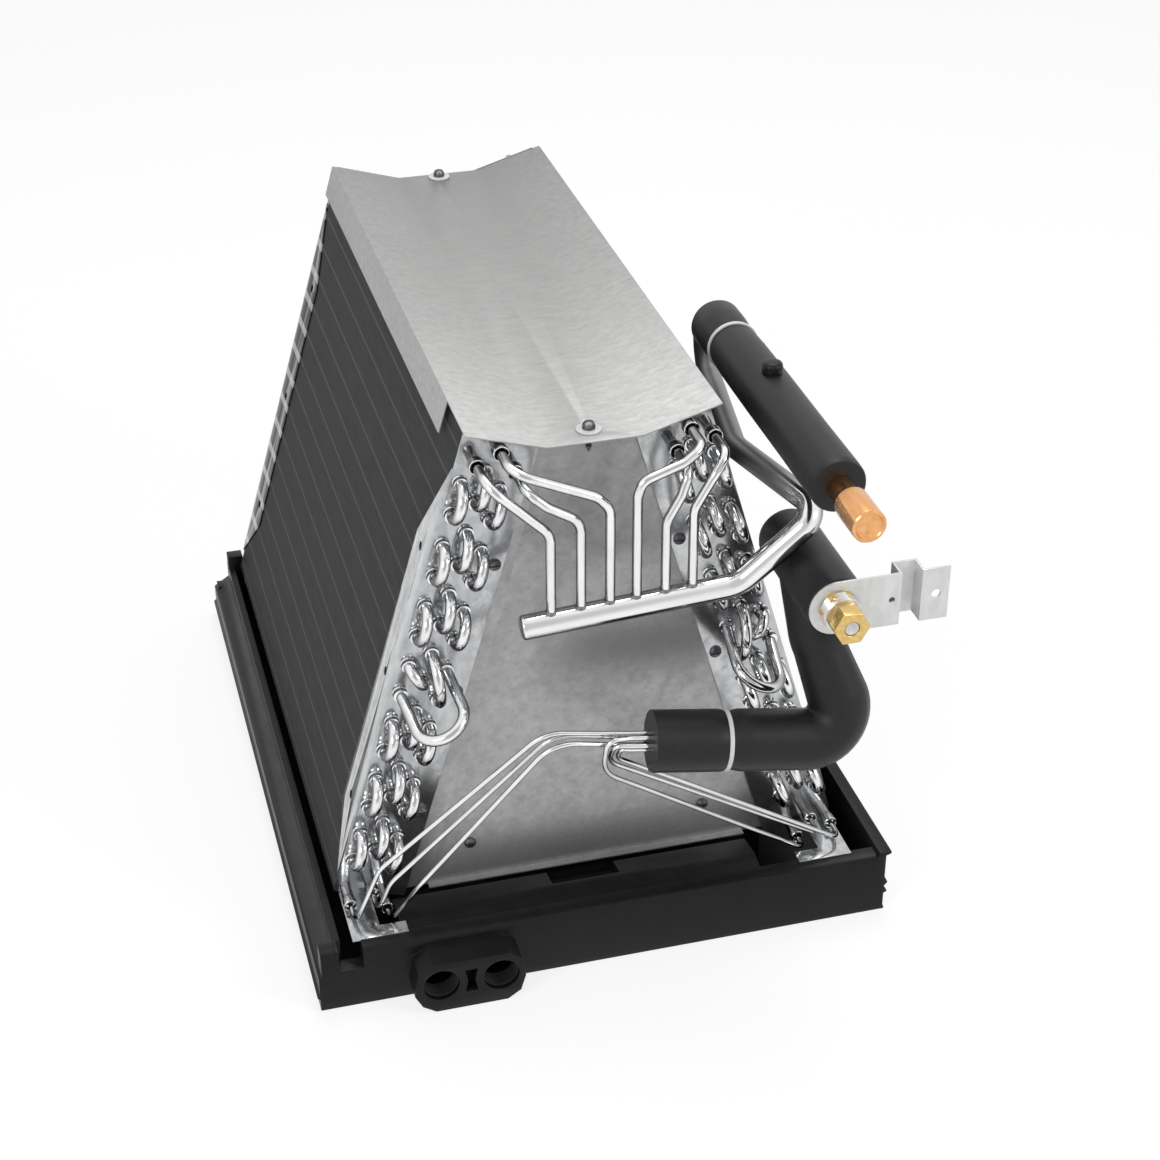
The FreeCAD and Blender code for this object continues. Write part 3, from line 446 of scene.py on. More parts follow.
class Bench:
    """Places and links the nodes of one shader tree."""

    def __init__(self, tree: bpy.types.NodeTree) -> None:
        """Keeps the tree that is being wired."""
        self.tree = tree

    def add(self, kind: str, **settings: object) -> bpy.types.Node:
        """One node with its settings.

        Args:
            kind: The node's type without its common prefix.
            **settings: Attributes of the node.

        Returns:
            The new node.
        """
        node = self.tree.nodes.new(f"ShaderNode{kind}")
        for name, value in settings.items():
            setattr(node, name, value)
        return node

    def wire(self, source: bpy.types.NodeSocket, target: bpy.types.NodeSocket) -> None:
        """Links one output to one input."""
        self.tree.links.new(source, target)

    def span(self, value: bpy.types.NodeSocket, given: tuple[float, float],
             wanted: tuple[float, float]) -> bpy.types.NodeSocket:
        """A value stretched from one range to another and held inside it.

        Args:
            value: The value to stretch.
            given: The range that it comes in.
            wanted: The range that it leaves in.

        Returns:
            The stretched value.
        """
        node = self.add("MapRange")
        self.wire(value, node.inputs["Value"])
        for name, number in zip(("From Min", "From Max", "To Min", "To Max"), given + wanted):
            node.inputs[name].default_value = number
        return node.outputs["Result"]

    def blend(self, share: bpy.types.NodeSocket, first: object, second: object) -> bpy.types.NodeSocket:
        """Two colours mixed by a share.

        Args:
            share: The second colour's share.
            first: A colour or the output that gives one.
            second: A colour or the output that gives one.

        Returns:
            The mixed colour.
        """
        node = self.add("Mix", data_type="RGBA")
        self.wire(share, node.inputs[0])
        for place, colour in ((6, first), (7, second)):
            if isinstance(colour, tuple):
                node.inputs[place].default_value = (*colour, 1)
            else:
                self.wire(colour, node.inputs[place])
        return node.outputs[2]

    def level(self, share: object, first: bpy.types.NodeSocket, second: object) -> bpy.types.NodeSocket:
        """Two values mixed by a share.

        Args:
            share: The second value's share, or the output that gives it.
            first: The output that gives the first value.
            second: The second value, or the output that gives it.

        Returns:
            The mixed value.
        """
        node = self.add("Mix", data_type="FLOAT")
        self.feed(node, (0, 2, 3), (share, first, second))
        return node.outputs[0]

    def math(self, operation: str, *values: object) -> bpy.types.NodeSocket:
        """One sum on numbers or outputs.

        Args:
            operation: The sum's name.
            *values: The numbers or outputs that go in.

        Returns:
            The result.
        """
        node = self.add("Math", operation=operation)
        self.feed(node, range(len(values)), values)
        return node.outputs[0]

    def feed(self, node: bpy.types.Node, places: Sequence[int], values: Sequence[object]) -> None:
        """Sets or links the inputs of a node.

        Args:
            node: The node.
            places: Which inputs.
            values: A number or an output for each.
        """
        for place, value in zip(places, values):
            if isinstance(value, (int, float)):
                node.inputs[place].default_value = value
            else:
                self.wire(value, node.inputs[place])

    def grain(self, scale: float, detail: float = 2.0) -> bpy.types.NodeSocket:
        """Noise on the piece's own coordinates, of a scale and a number of octaves."""
        noise = self.add("TexNoise")
        noise.inputs["Scale"].default_value = scale
        noise.inputs["Detail"].default_value = detail
        self.wire(self.add("TexCoord").outputs["Object"], noise.inputs["Vector"])
        return noise.outputs["Fac"]

    def part(self, vector: bpy.types.NodeSocket, axis: str) -> bpy.types.NodeSocket:
        """One axis of a vector."""
        parts = self.add("SeparateXYZ")
        self.wire(vector, parts.inputs[0])
        return parts.outputs[axis]


def new_group(name: str,
              inputs: dict[str, tuple[str, object]]) -> tuple[Bench, bpy.types.Node, bpy.types.Node]:
    """An empty effect group with one Mask output.

    Args:
        name: The group's name.
        inputs: The kind and first value of each input, by name.

    Returns:
        The group's bench, its input node and its output node.
    """
    tree = bpy.data.node_groups.new(name, "ShaderNodeTree")
    for label, (kind, value) in inputs.items():
        socket = tree.interface.new_socket(label, in_out="INPUT", socket_type=f"NodeSocket{kind}")
        socket.default_value = value
    tree.interface.new_socket("Mask", in_out="OUTPUT", socket_type="NodeSocketFloat")
    bench = Bench(tree)
    entry = tree.nodes.new("NodeGroupInput")
    exit_node = tree.nodes.new("NodeGroupOutput")
    return bench, entry, exit_node


def make_streaks() -> bpy.types.NodeTree:
    """Drawn or rolled streaks: noise on the piece's own coordinates, stretched along one way."""
    bench, entry, leave = new_group("drawn_streaks", {"Stretch": ("Vector", (1, 1, 1)),
                                                      "Scale": ("Float", 100.0)})
    place = bench.add("TexCoord")
    stretch = bench.add("VectorMath", operation="MULTIPLY")
    bench.wire(place.outputs["Object"], stretch.inputs[0])
    bench.wire(entry.outputs["Stretch"], stretch.inputs[1])
    noise = bench.add("TexNoise")
    noise.inputs["Detail"].default_value = 5.0
    noise.inputs["Roughness"].default_value = 0.6
    bench.wire(stretch.outputs[0], noise.inputs["Vector"])
    bench.wire(entry.outputs["Scale"], noise.inputs["Scale"])
    bench.wire(bench.span(noise.outputs["Fac"], (0.3, 0.7), (0, 1)), leave.inputs["Mask"])
    return bench.tree


def make_spangle() -> bpy.types.NodeTree:
    """Zinc spangle: crystal patches that differ a little in tone."""
    bench, entry, leave = new_group("zinc_spangle", {"Scale": ("Float", 150.0)})
    place = bench.add("TexCoord")
    patches = bench.add("TexVoronoi")
    bench.wire(place.outputs["Object"], patches.inputs["Vector"])
    bench.wire(entry.outputs["Scale"], patches.inputs["Scale"])
    parts = bench.add("SeparateColor")
    bench.wire(patches.outputs["Color"], parts.inputs[0])
    bench.wire(parts.outputs[0], leave.inputs["Mask"])
    return bench.tree


def make_wear() -> bpy.types.NodeTree:
    """Handling wear: raised edges rubbed unevenly."""
    bench, entry, leave = new_group("edge_wear", {"Amount": ("Float", 0.5)})
    shape = bench.add("NewGeometry")
    edges = bench.span(shape.outputs["Pointiness"], (0.52, 0.62), (0, 1))
    rubbed = bench.math("MULTIPLY", edges, bench.span(bench.grain(180.0), (0.35, 0.65), (0, 1)))
    bench.wire(bench.math("MULTIPLY", rubbed, entry.outputs["Amount"]), leave.inputs["Mask"])
    return bench.tree


def make_dust() -> bpy.types.NodeTree:
    """A thin film of workshop dust on whatever faces up."""
    bench, entry, leave = new_group("settled_dust", {"Amount": ("Float", 0.2)})
    shape = bench.add("NewGeometry")
    upward = bench.span(bench.part(shape.outputs["Normal"], "Z"), (0.4, 1.0), (0, 1))
    settled = bench.math("MULTIPLY", upward, bench.span(bench.grain(45.0, 6.0), (0.4, 0.65), (0, 1)))
    bench.wire(bench.math("MULTIPLY", settled, entry.outputs["Amount"]), leave.inputs["Mask"])
    return bench.tree


def make_bands() -> bpy.types.NodeTree:
    """Thin parallel lines at one pitch along any axis of the piece's own coordinates."""
    bench, entry, leave = new_group("pitch_bands", {"Axis": ("Vector", (0, 0, 1)), "Offset": ("Float", 0.0),
                                                    "Pitch": ("Float", 0.022), "Share": ("Float", 0.04)})
    place = bench.add("TexCoord")
    along = bench.add("VectorMath", operation="DOT_PRODUCT")
    bench.wire(place.outputs["Object"], along.inputs[0])
    bench.wire(entry.outputs["Axis"], along.inputs[1])
    moved = bench.math("ADD", along.outputs["Value"], entry.outputs["Offset"])
    counted = bench.math("FRACT", bench.math("DIVIDE", moved, entry.outputs["Pitch"]))
    distance = bench.math("ABSOLUTE", bench.math("SUBTRACT", counted, 0.5))
    bench.wire(bench.math("LESS_THAN", distance, entry.outputs["Share"]), leave.inputs["Mask"])
    return bench.tree


EFFECTS = {"streaks": make_streaks(), "spangle": make_spangle(), "wear": make_wear(), "dust": make_dust(),
           "bands": make_bands()}


@dataclass(frozen=True)
class Finish:
    """One surface finish: two tones mixed by streaks and spangle, with gloss, relief, wear and dust; some
    finishes also have painted reflection bands, painted shade and painted highlight lines in their colour.
    """

    name: str
    slot: str
    tone: Tone
    second_tone: Tone
    metallic: float = 0.0
    gloss: tuple[float, float] = (0.3, 0.4)
    stretch: Tone = (1.0, 1.0, 1.0)
    scale: float = 100.0
    spangle_share: float = 0.0
    spangle_scale: float = 150.0
    relief: float = 0.02 * MM
    relief_scale: float = 900.0
    wear: float = 0.0
    wear_tone: Tone = (0.75, 0.75, 0.75)
    dust: float = 0.0
    specular: float = 0.5
    # Painted reflection: the rim and core tones darken a surface's grazing edges and a line down its middle,
    # set by how squarely it faces the view, in place of mirrored bands.
    rim_tone: Tone | None = None
    rim: tuple[float, float] = (0.25, 0.8)
    core_tone: Tone | None = None
    core: tuple[float, float] = (0.02, 0.07)
    aft_tone: Tone | None = None
    aft_span: tuple[float, float] = (0.0, 0.015)
    aft_gloss: float = 0.4
    band_tone: Tone | None = None
    band_axis: Tone = (0.0, 0.0, 1.0)
    band_offset: float = 0.0
    band_share: float = 0.04

    def effect(self, bench: Bench, name: str, **values: object) -> bpy.types.NodeSocket:
        """One shared effect placed in this material with its own values.

        Args:
            bench: The material's bench.
            name: The effect's name.
            **values: The effect's inputs.

        Returns:
            The effect's mask.
        """
        node = bench.tree.nodes.new("ShaderNodeGroup")
        node.node_tree = EFFECTS[name]
        for label, value in values.items():
            node.inputs[label].default_value = value
        return node.outputs["Mask"]

    def pattern(self, bench: Bench) -> bpy.types.NodeSocket:
        """The mask that mixes the two tones: streaks, with spangle where the finish has it."""
        streaks = self.effect(bench, "streaks", Stretch=self.stretch, Scale=self.scale)
        if not self.spangle_share:
            return streaks
        spangle = self.effect(bench, "spangle", Scale=self.spangle_scale)
        return bench.level(self.spangle_share, streaks, spangle)

    def colour(self, bench: Bench, pattern: bpy.types.NodeSocket) -> bpy.types.NodeSocket:
        """The surface colour with its wear and dust, and with the painted reflection bands, painted shade and
        painted highlight lines of the finishes that have them.

        Args:
            bench: The material's bench.
            pattern: The mask that mixes the two tones.

        Returns:
            The colour.
        """
        colour = bench.blend(pattern, self.tone, self.second_tone)
        # Painted reflection: dark grazing edges and a darker middle line, set by facing.
        if self.rim_tone:
            facing = bench.add("LayerWeight")
            facing.inputs["Blend"].default_value = 0.5
            if self.core_tone:
                core = bench.span(facing.outputs["Facing"], self.core, (1, 0))
                colour = bench.blend(core, colour, self.core_tone)
            rim = bench.span(facing.outputs["Facing"], self.rim, (0, 1))
            colour = bench.blend(rim, colour, self.rim_tone)
        # Lines over each outer tube row: painted highlights on the back sheets, lighter lines on the fins.
        if self.band_tone:
            bands = self.effect(bench, "bands", Axis=self.band_axis, Offset=self.band_offset,
                                Share=self.band_share)
            colour = bench.blend(bands, colour, self.band_tone)
        # On the cover the aft tone is painted shade that deepens towards the back. On the suction line it is
        # the return leg's own duller grey, and on the back sheets it is the back face's lighter sheet tone.
        if self.aft_tone:
            colour = bench.blend(self.aft(bench), colour, self.aft_tone)
        if self.wear:
            colour = bench.blend(self.effect(bench, "wear", Amount=self.wear), colour, self.wear_tone)
        if self.dust:
            colour = bench.blend(self.effect(bench, "dust", Amount=self.dust), colour, (0.55, 0.54, 0.52))
        return colour

    def aft(self, bench: Bench) -> bpy.types.NodeSocket:
        """The share of the finish's aft tone, growing towards the coil's back."""
        along = bench.part(bench.add("TexCoord").outputs["Object"], "Y")
        return bench.span(along, self.aft_span, (0, 1))

    def roughness(self, bench: Bench, pattern: bpy.types.NodeSocket) -> bpy.types.NodeSocket:
        """The roughness, from the pattern and, where the finish has one, its aft gloss.

        Args:
            bench: The material's bench.
            pattern: The mask that mixes the two tones.

        Returns:
            The roughness.
        """
        rough = bench.span(pattern, (0, 1), self.gloss)
        return bench.level(self.aft(bench), rough, self.aft_gloss) if self.aft_tone else rough

    def relief_normal(self, bench: Bench) -> bpy.types.NodeSocket:
        """Fine surface relief as a bump."""
        bump = bench.add("Bump")
        bump.inputs["Distance"].default_value = self.relief
        bump.inputs["Strength"].default_value = 1.0
        bench.wire(bench.grain(self.relief_scale, 3.0), bump.inputs["Height"])
        return bump.outputs["Normal"]

    def material(self) -> bpy.types.Material:
        """The finish's material, made once."""
        ready = bpy.data.materials.get(self.name)
        if ready:
            return ready
        material = bpy.data.materials.new(self.name)
        material.use_nodes = True
        bench = Bench(material.node_tree)
        shader = material.node_tree.nodes["Principled BSDF"]
        pattern = self.pattern(bench)
        bench.wire(self.colour(bench, pattern), shader.inputs["Base Color"])
        bench.wire(self.roughness(bench, pattern), shader.inputs["Roughness"])
        bench.wire(self.relief_normal(bench), shader.inputs["Normal"])
        shader.inputs["Metallic"].default_value = self.metallic
        shader.inputs["Specular IOR Level"].default_value = self.specular
        return material


class Finishes:
    """Every finish on the coil."""

    # Painted shade: the fins' tone is far darker than bare aluminium, which paints in the shade between the
    # close fins. The lines over each outer tube row are lighter.
    FIN = Finish("pressed_fins", "fin_aluminium", (0.115, 0.117, 0.12), (0.15, 0.152, 0.155),
                 0.5, (0.42, 0.55), (1.0, 0.15, 1.0), 260.0, band_tone=(0.22, 0.225, 0.23), specular=0.3)
    FIN_TUBE = Finish("fin_collars", "tube_aluminium", (0.45, 0.46, 0.47), (0.65, 0.66, 0.67),
                      0.9, (0.3, 0.45), (1.0, 0.1, 1.0), 300.0)
    # The bright tubes and the suction line carry painted reflection bands: dark grazing edges and a darker
    # middle line.
    TUBE = Finish("bright_tube", "tube_aluminium", (0.90, 0.905, 0.91), (0.76, 0.765, 0.775),
                  1.0, (0.08, 0.16), (1.0, 1.0, 0.3), 130.0, relief=0.004 * MM,
                  rim_tone=(0.07, 0.07, 0.075), rim=(0.22, 0.62), core_tone=(0.42, 0.42, 0.43))
    LINE = replace(TUBE, name="suction_tube", stretch=(0.3, 1.0, 1.0), scale=120.0,
                   rim_tone=(0.10, 0.10, 0.105), rim=(0.25, 0.7), core_tone=(0.55, 0.55, 0.56),
                   aft_tone=(0.30, 0.30, 0.305), aft_span=(-0.005, 0.02), aft_gloss=0.5)
    BRAZE = Finish("braze_ring", "tube_aluminium", (0.10, 0.10, 0.11), (0.26, 0.25, 0.24),
                   0.7, (0.4, 0.6), scale=500.0)
    SHEET = Finish("tube_sheet_zinc", "galvanised_sheet", (0.60, 0.61, 0.62), (0.34, 0.35, 0.36),
                   0.9, (0.10, 0.22), (1.0, 1.0, 0.25), 90.0, 0.35, 190.0, wear=0.4, dust=0.03)
    # Painted shade and painted highlights: the back sheets are near black, standing in for the shade round
    # the hairpins behind them. The lighter lines over each tube are painted as the hairpins' highlights, and
    # the back face keeps a lighter sheet tone.
    FLANGE = Finish("dark_flange", "galvanised_sheet", (0.018, 0.018, 0.02), (0.04, 0.04, 0.043),
                    0.9, (0.12, 0.24), (1.0, 1.0, 0.3), 120.0, band_tone=(0.34, 0.34, 0.35),
                    band_share=0.13, aft_tone=(0.50, 0.51, 0.52), aft_span=(0.4700, 0.4704), aft_gloss=0.25)
    DELTA = Finish("delta_zinc", "galvanised_sheet", (0.46, 0.46, 0.465), (0.33, 0.33, 0.335),
                   0.7, (0.3, 0.42), (1.0, 1.0, 1.0), 120.0, 0.35, 320.0, relief=0.05 * MM,
                   relief_scale=240.0, dust=0.05)
    # Painted shade: the cover's aft tone darkens it towards the back.
    COVER = Finish("cover_zinc", "galvanised_sheet", (0.50, 0.50, 0.495), (0.38, 0.38, 0.375),
                   0.5, (0.42, 0.55), (0.22, 1.0, 1.0), 300.0, 0.25, 420.0, relief=0.04 * MM,
                   relief_scale=420.0, wear=0.3, dust=0.05, aft_tone=(0.27, 0.27, 0.267),
                   aft_span=(0.05, 0.52))
    BRACKET = Finish("bracket_zinc", "galvanised_sheet", (0.78, 0.78, 0.78), (0.62, 0.62, 0.62),
                     0.5, (0.3, 0.42), (1.0, 1.0, 0.3), 150.0, 0.2, 240.0, wear=0.3)
    COPPER = Finish("copper_stub", "copper_tube", (0.86, 0.46, 0.20), (0.70, 0.34, 0.14),
                    1.0, (0.16, 0.30), (1.0, 0.2, 1.0), 240.0)
    BRASS = Finish("turned_brass", "fitting_brass", (0.78, 0.56, 0.22), (0.60, 0.40, 0.13),
                   1.0, (0.16, 0.30), (1.0, 4.0, 1.0), 300.0, wear=0.4, wear_tone=(0.9, 0.75, 0.4))
    NICKEL = Finish("plated_thread", "fitting_brass", (0.72, 0.71, 0.69), (0.5, 0.49, 0.47),
                    1.0, (0.18, 0.3), (1.0, 4.0, 1.0), 300.0)
    FOAM = Finish("closed_foam", "foam", (0.011, 0.0115, 0.0125), (0.016, 0.0165, 0.0175),
                  0.0, (0.38, 0.48), scale=350.0, relief=0.04 * MM, relief_scale=1400.0, dust=0.01,
                  specular=0.28)
    PAN = Finish("moulded_pan", "pan_plastic", (0.005, 0.0052, 0.0058), (0.008, 0.0082, 0.009),
                 0.0, (0.30, 0.42), scale=60.0, relief=0.03 * MM, relief_scale=1100.0, wear=0.15,
                 wear_tone=(0.03, 0.03, 0.032), dust=0.006, specular=0.2)
    WHITE = Finish("white_nylon", "white_plastic", (0.82, 0.82, 0.81), (0.70, 0.70, 0.69),
                   0.0, (0.3, 0.42), scale=200.0)
    BLACK = Finish("black_cap", "black_plastic", (0.006, 0.006, 0.007), (0.010, 0.010, 0.011),
                   0.0, (0.32, 0.45), scale=300.0, specular=0.25)
    SCREW = Finish("dark_screw", "screw_steel", (0.05, 0.05, 0.055), (0.13, 0.13, 0.14),
                   0.8, (0.28, 0.42), scale=600.0, wear=0.5)


def deliver(piece: bpy.types.Object, name: str, finish: Finish, *nodes: str) -> bpy.types.Object:
    """Names a finished piece, gives it its material, and seats it in place of its CAD nodes.

    Args:
        piece: The finished piece.
        name: Its plain name.
        finish: Its surface finish.
        *nodes: The CAD nodes that it stands for.

    Returns:
        The piece.
    """
    apply_place(piece)
    piece.name = name
    piece.data.name = name
    piece.data.materials.clear()
    piece.data.materials.append(finish.material())
    for face in piece.data.polygons:
        face.material_index = 0
    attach(piece, "root")
    if nodes:
        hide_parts(*nodes)
    return piece


# --- The coil's own layout ---


@dataclass(frozen=True)
class Slabs:
    """Where the two leaning slabs and their tubes are."""

    tilt: float = math.radians(16.5)
    foot_half: float = 0.1762
    foot_height: float = 0.0491
    tube_pitch: float = 0.022
    tube_count: int = 16
    row_pitch: float = 0.0125
    row_count: int = 3
    fin_front: float = 0.036
    fin_length: float = 0.4345
    sheet_thickness: float = 0.0012

    @property
    def rows(self) -> range:
        """The numbers of the rows."""
        return range(1, self.row_count + 1)

    @property
    def tubes(self) -> range:
        """The numbers of one row's tubes."""
        return range(1, self.tube_count + 1)

    @property
    def height(self) -> float:
        """The slab's height along its own lean."""
        return self.tube_pitch * self.tube_count

    @property
    def depth(self) -> float:
        """The slab's depth across its rows."""
        return self.row_pitch * self.row_count

    @property
    def sheet_front(self) -> float:
        """The front face of the front tube sheets."""
        return self.fin_front - self.sheet_thickness

    @property
    def sheet_back(self) -> float:
        """The back face of the back tube sheets."""
        return self.fin_front + self.fin_length + self.sheet_thickness

    def place(self, side: Side, along: float, depth: float, y: float) -> Vector:
        """A point of one slab.

        Args:
            side: Which slab.
            along: The height up the slab's lean.
            depth: The depth inward from its outer face.
            y: The place from front to back.

        Returns:
            The point.
        """
        inward = along * math.sin(self.tilt) + depth * math.cos(self.tilt)
        height = self.foot_height + along * math.cos(self.tilt) - depth * math.sin(self.tilt)
        return Vector((side.value * (self.foot_half - inward), y, height))

    def tube_end(self, side: Side, row: int, number: int, y: float) -> Vector:
        """The axis of one tube: rows count inward and tubes count down.

        Args:
            side: Which slab.
            row: The row, from 1 at the outer face.
            number: The tube, from 1 at the top.
            y: The place from front to back.

        Returns:
            The point on the tube's axis.
        """
        stagger = self.tube_pitch / 2 if row == 2 else 0.0
        along = self.tube_pitch * (self.tube_count - number + 0.25) + stagger
        return self.place(side, along, self.row_pitch * (row - 0.5), y)

    def banded(self, finish: Finish, side: Side) -> Finish:
        """A finish with one line over every tube of a slab's outer row.

        Args:
            finish: The finish without its place.
            side: Which slab.

        Returns:
            The placed finish.
        """
        axis = (-side.value * math.sin(self.tilt), 0.0, math.cos(self.tilt))
        foot = self.foot_half * math.sin(self.tilt) - self.foot_height * math.cos(self.tilt)
        return replace(finish, name=f"{finish.name}_{side.word}", band_axis=axis,
                       band_offset=foot + self.tube_pitch / 4)

    def lean(self, side: Side) -> float:
        """The slab's turn about Y."""
        return -side.value * self.tilt


SLABS = Slabs()


@dataclass
class FinPack:
    """One slab of thin rippled fins on their tubes."""

    side: Side
    pitch: float = 1.8 * MM
    thickness: float = 0.28 * MM
    ripple: float = 0.22 * MM
    cuts: int = 11
    collar_radius: float = 4.3 * MM

    def build(self) -> None:
        """Builds the fins and the tubes that show between them."""
        self.build_fins()
        self.build_collars()
        LOG.info("fin pack %s", self.side.word)

    def build_fins(self) -> None:
        """One fin, rippled along its height, repeated along the slab."""
        count = int(SLABS.fin_length / self.pitch)
        start = SLABS.fin_front + (SLABS.fin_length - (count - 1) * self.pitch) / 2
        centre = SLABS.place(self.side, SLABS.height / 2, SLABS.depth / 2, start)
        piece = block((SLABS.depth, self.thickness, SLABS.height))
        with on_the_bench(piece):
            pick(piece, "edges", lambda edge: abs(edge.verts[0].co.z - edge.verts[1].co.z) > SLABS.height / 2)
            bpy.ops.mesh.subdivide(number_cuts=self.cuts)
            step = SLABS.height / (self.cuts + 1)
            pick(piece, "verts", lambda vert: round((vert.co.z + SLABS.height / 2) / step) % 2 == 1)
            bpy.ops.transform.translate(value=(0, self.ripple, 0))
        apply_modifier(piece, "ARRAY", count=count, use_relative_offset=False, use_constant_offset=True,
                       constant_offset_displace=(0, self.pitch, 0))
        piece.matrix_world = Matrix.Translation(centre) @ Matrix.Rotation(SLABS.lean(self.side), 4, "Y")
        apply_place(piece)
        word = self.side.word
        deliver(piece, f"fins_{word}", SLABS.banded(Finishes.FIN, self.side), f"fin_block_{word}")

    def build_collars(self) -> None:
        """The collared tubes through the fins, row by row."""
        bpy.ops.object.select_all(action="DESELECT")
        bpy.ops.mesh.primitive_cylinder_add(vertices=10, radius=self.collar_radius, depth=SLABS.fin_length,
                                            rotation=(math.pi / 2, 0, 0))
        master = bpy.context.active_object
        apply_place(master)
        smooth(master)
        middle = SLABS.fin_front + SLABS.fin_length / 2
        places = [Matrix.Translation(SLABS.tube_end(self.side, row, number, middle))
                  for row in SLABS.rows for number in SLABS.tubes]
        deliver(repeated(master, places), f"fin_tubes_{self.side.word}", Finishes.FIN_TUBE)


@dataclass
class TubeCircuit:
    """The bends and belled ends that join one slab's tubes into circuits."""

    side: Side
    radius: float = 3.7 * MM
    leg: float = 5.5 * MM
    hairpin_leg: float = 3.8 * MM
    stub_reach: float = 15.0 * MM
    bell_length: float = 8.0 * MM
    bell_radius: dict[str, float] = field(default_factory=lambda: {"outlet": 5.2 * MM, "inlet": 4.6 * MM})
    bore_radius: dict[str, float] = field(default_factory=lambda: {"outlet": 3.3 * MM, "inlet": 1.75 * MM})
    upper_tubes: tuple[int, ...] = (2, 4, 6, 10, 12, 14)
    links: tuple[tuple[tuple[int, int], tuple[int, int], float, float], ...] = (
        ((1, 8), (2, 9), 3.0 * MM, 0.0), ((3, 8), (1, 9), 34.0 * MM, 0.3), ((2, 8), (3, 9), 2.0 * MM, 0.0))

    def build(self) -> None:
        """Builds the return bends, hairpins, crossovers and tube ends."""
        self.build_returns()
        self.build_hairpins()
        self.build_crossovers()
        self.build_sockets()
        for place, number in (("outlet", 1), ("inlet", SLABS.tube_count)):
            self.build_ends(place, number)
        LOG.info("tube circuit %s", self.side.word)

    def front(self, row: int, number: int, reach: float = 0.0) -> Vector:
        """A point on one tube's axis before the front sheet.

        Args:
            row: The tube's row.
            number: The tube's number.
            reach: The distance before the sheet.

        Returns:
            The point.
        """
        return SLABS.tube_end(self.side, row, number, SLABS.sheet_front - reach)

    def build_returns(self) -> None:
        """The return bends on the front tube sheet, one object for each row."""
        for row in SLABS.rows:
            places = [bridge(self.front(row, upper), self.front(row, upper + 1), FORWARD)
                      for upper in self.upper_tubes]
            bends = repeated(u_bend(SLABS.tube_pitch, self.leg, self.radius), places)
            name = f"return_bends_{self.side.word}_row_{row}"
            deliver(bends, f"smooth_{name}", Finishes.TUBE, name)

    def build_hairpins(self) -> None:
        """The hairpin bends behind the back tube sheet."""
        ends = [[SLABS.tube_end(self.side, row, number, SLABS.sheet_back) for number in (upper, upper + 1)]
                for row in SLABS.rows for upper in SLABS.tubes[::2]]
        places = [bridge(first, second, -FORWARD) for first, second in ends]
        master = u_bend(SLABS.tube_pitch, self.hairpin_leg, self.radius, sides=12, steps=8)
        name = f"hairpin_bends_{self.side.word}"
        deliver(repeated(master, places), f"smooth_{name}", Finishes.TUBE, name)

    def build_crossovers(self) -> None:
        """The bends that cross from row to row at mid height."""
        bends = []
        for start, finish, reach, drop in self.links:
            first, second = self.front(*start), self.front(*finish)
            master = u_bend((first - second).length, reach, self.radius, steps=16)
            bends.append(repeated(master, [bridge(first, second, FORWARD - UPWARD * drop)]))
        name = f"crossover_bends_{self.side.word}"
        deliver(join(bends), f"smooth_{name}", Finishes.TUBE, name)

    def build_sockets(self) -> None:
        """The flared sockets in the front sheet that hold the bends' feet."""
        outer = self.radius + 0.75 * MM
        master = turned([(outer + 0.5 * MM, 0), (outer, 0.7 * MM), (outer, 3.6 * MM),
                         (outer + 0.25 * MM, 4.2 * MM), (self.radius, 4.4 * MM)], 16)
        places = [along_y(self.front(row, number), -1) for row in SLABS.rows for number in SLABS.tubes[1:-1]]
        deliver(repeated(master, places), f"bend_sockets_{self.side.word}", Finishes.TUBE)

    def build_ends(self, place: str, number: int) -> None:
        """The straight tube ends with their bells.

        Args:
            place: Whether these are the outlet or the inlet ends.
            number: The tube that carries them.
        """
        outer = self.bell_radius[place]
        bore = self.bore_radius[place]
        neck = self.stub_reach
        throat = neck + 3 * MM
        mouth = neck + self.bell_length
        master = turned([(self.radius, 0), (self.radius, neck - 2 * MM), (outer - 0.3 * MM, neck + MM),
                         (outer, neck + 2 * MM), (outer, mouth - 0.4 * MM), (outer - 0.3 * MM, mouth),
                         (outer - 0.6 * MM, mouth), (outer - 0.9 * MM, mouth - 0.4 * MM),
                         (outer - 1.0 * MM, throat + MM), (bore, throat)], 24)
        ends = repeated(master, [along_y(self.front(row, number), -1) for row in SLABS.rows])
        name = f"{place}_tube_ends_{self.side.word}"
        deliver(ends, f"smooth_{name}", Finishes.TUBE, name)
        fillet = turned([(bore + 1.3 * MM, 0), (bore + 0.9 * MM, MM), (bore, 1.8 * MM)], 20)
        fillets = repeated(fillet, [along_y(self.front(row, number, throat), -1) for row in SLABS.rows])
        deliver(fillets, f"{place}_braze_{self.side.word}", Finishes.BRAZE)


@dataclass
class SheetMetal:
    """The folded sheets: tube sheets, closing plates, top cover and inlet bracket."""

    edge: float = 0.3 * MM

    def build(self) -> None:
        """Dresses every folded sheet."""
        for side in Side:
            self.dress(f"tube_sheet_front_{side.word}", Finishes.SHEET)
            # The back sheets take painted shade with painted highlight lines over each tube.
            self.dress(f"tube_sheet_back_{side.word}", SLABS.banded(Finishes.FLANGE, side))
        for end in ("front", "back"):
            self.dress(f"delta_plate_{end}", Finishes.DELTA)
        self.dress("top_cover", Finishes.COVER)
        self.dress("inlet_bracket", Finishes.BRACKET)

    def dress(self, node: str, finish: Finish) -> None:
        """One sheet with softened edges and its finish."""
        deliver(dressed_copy(node, self.edge), f"{node}_sheet", finish, node)
        LOG.info("sheet %s", node)


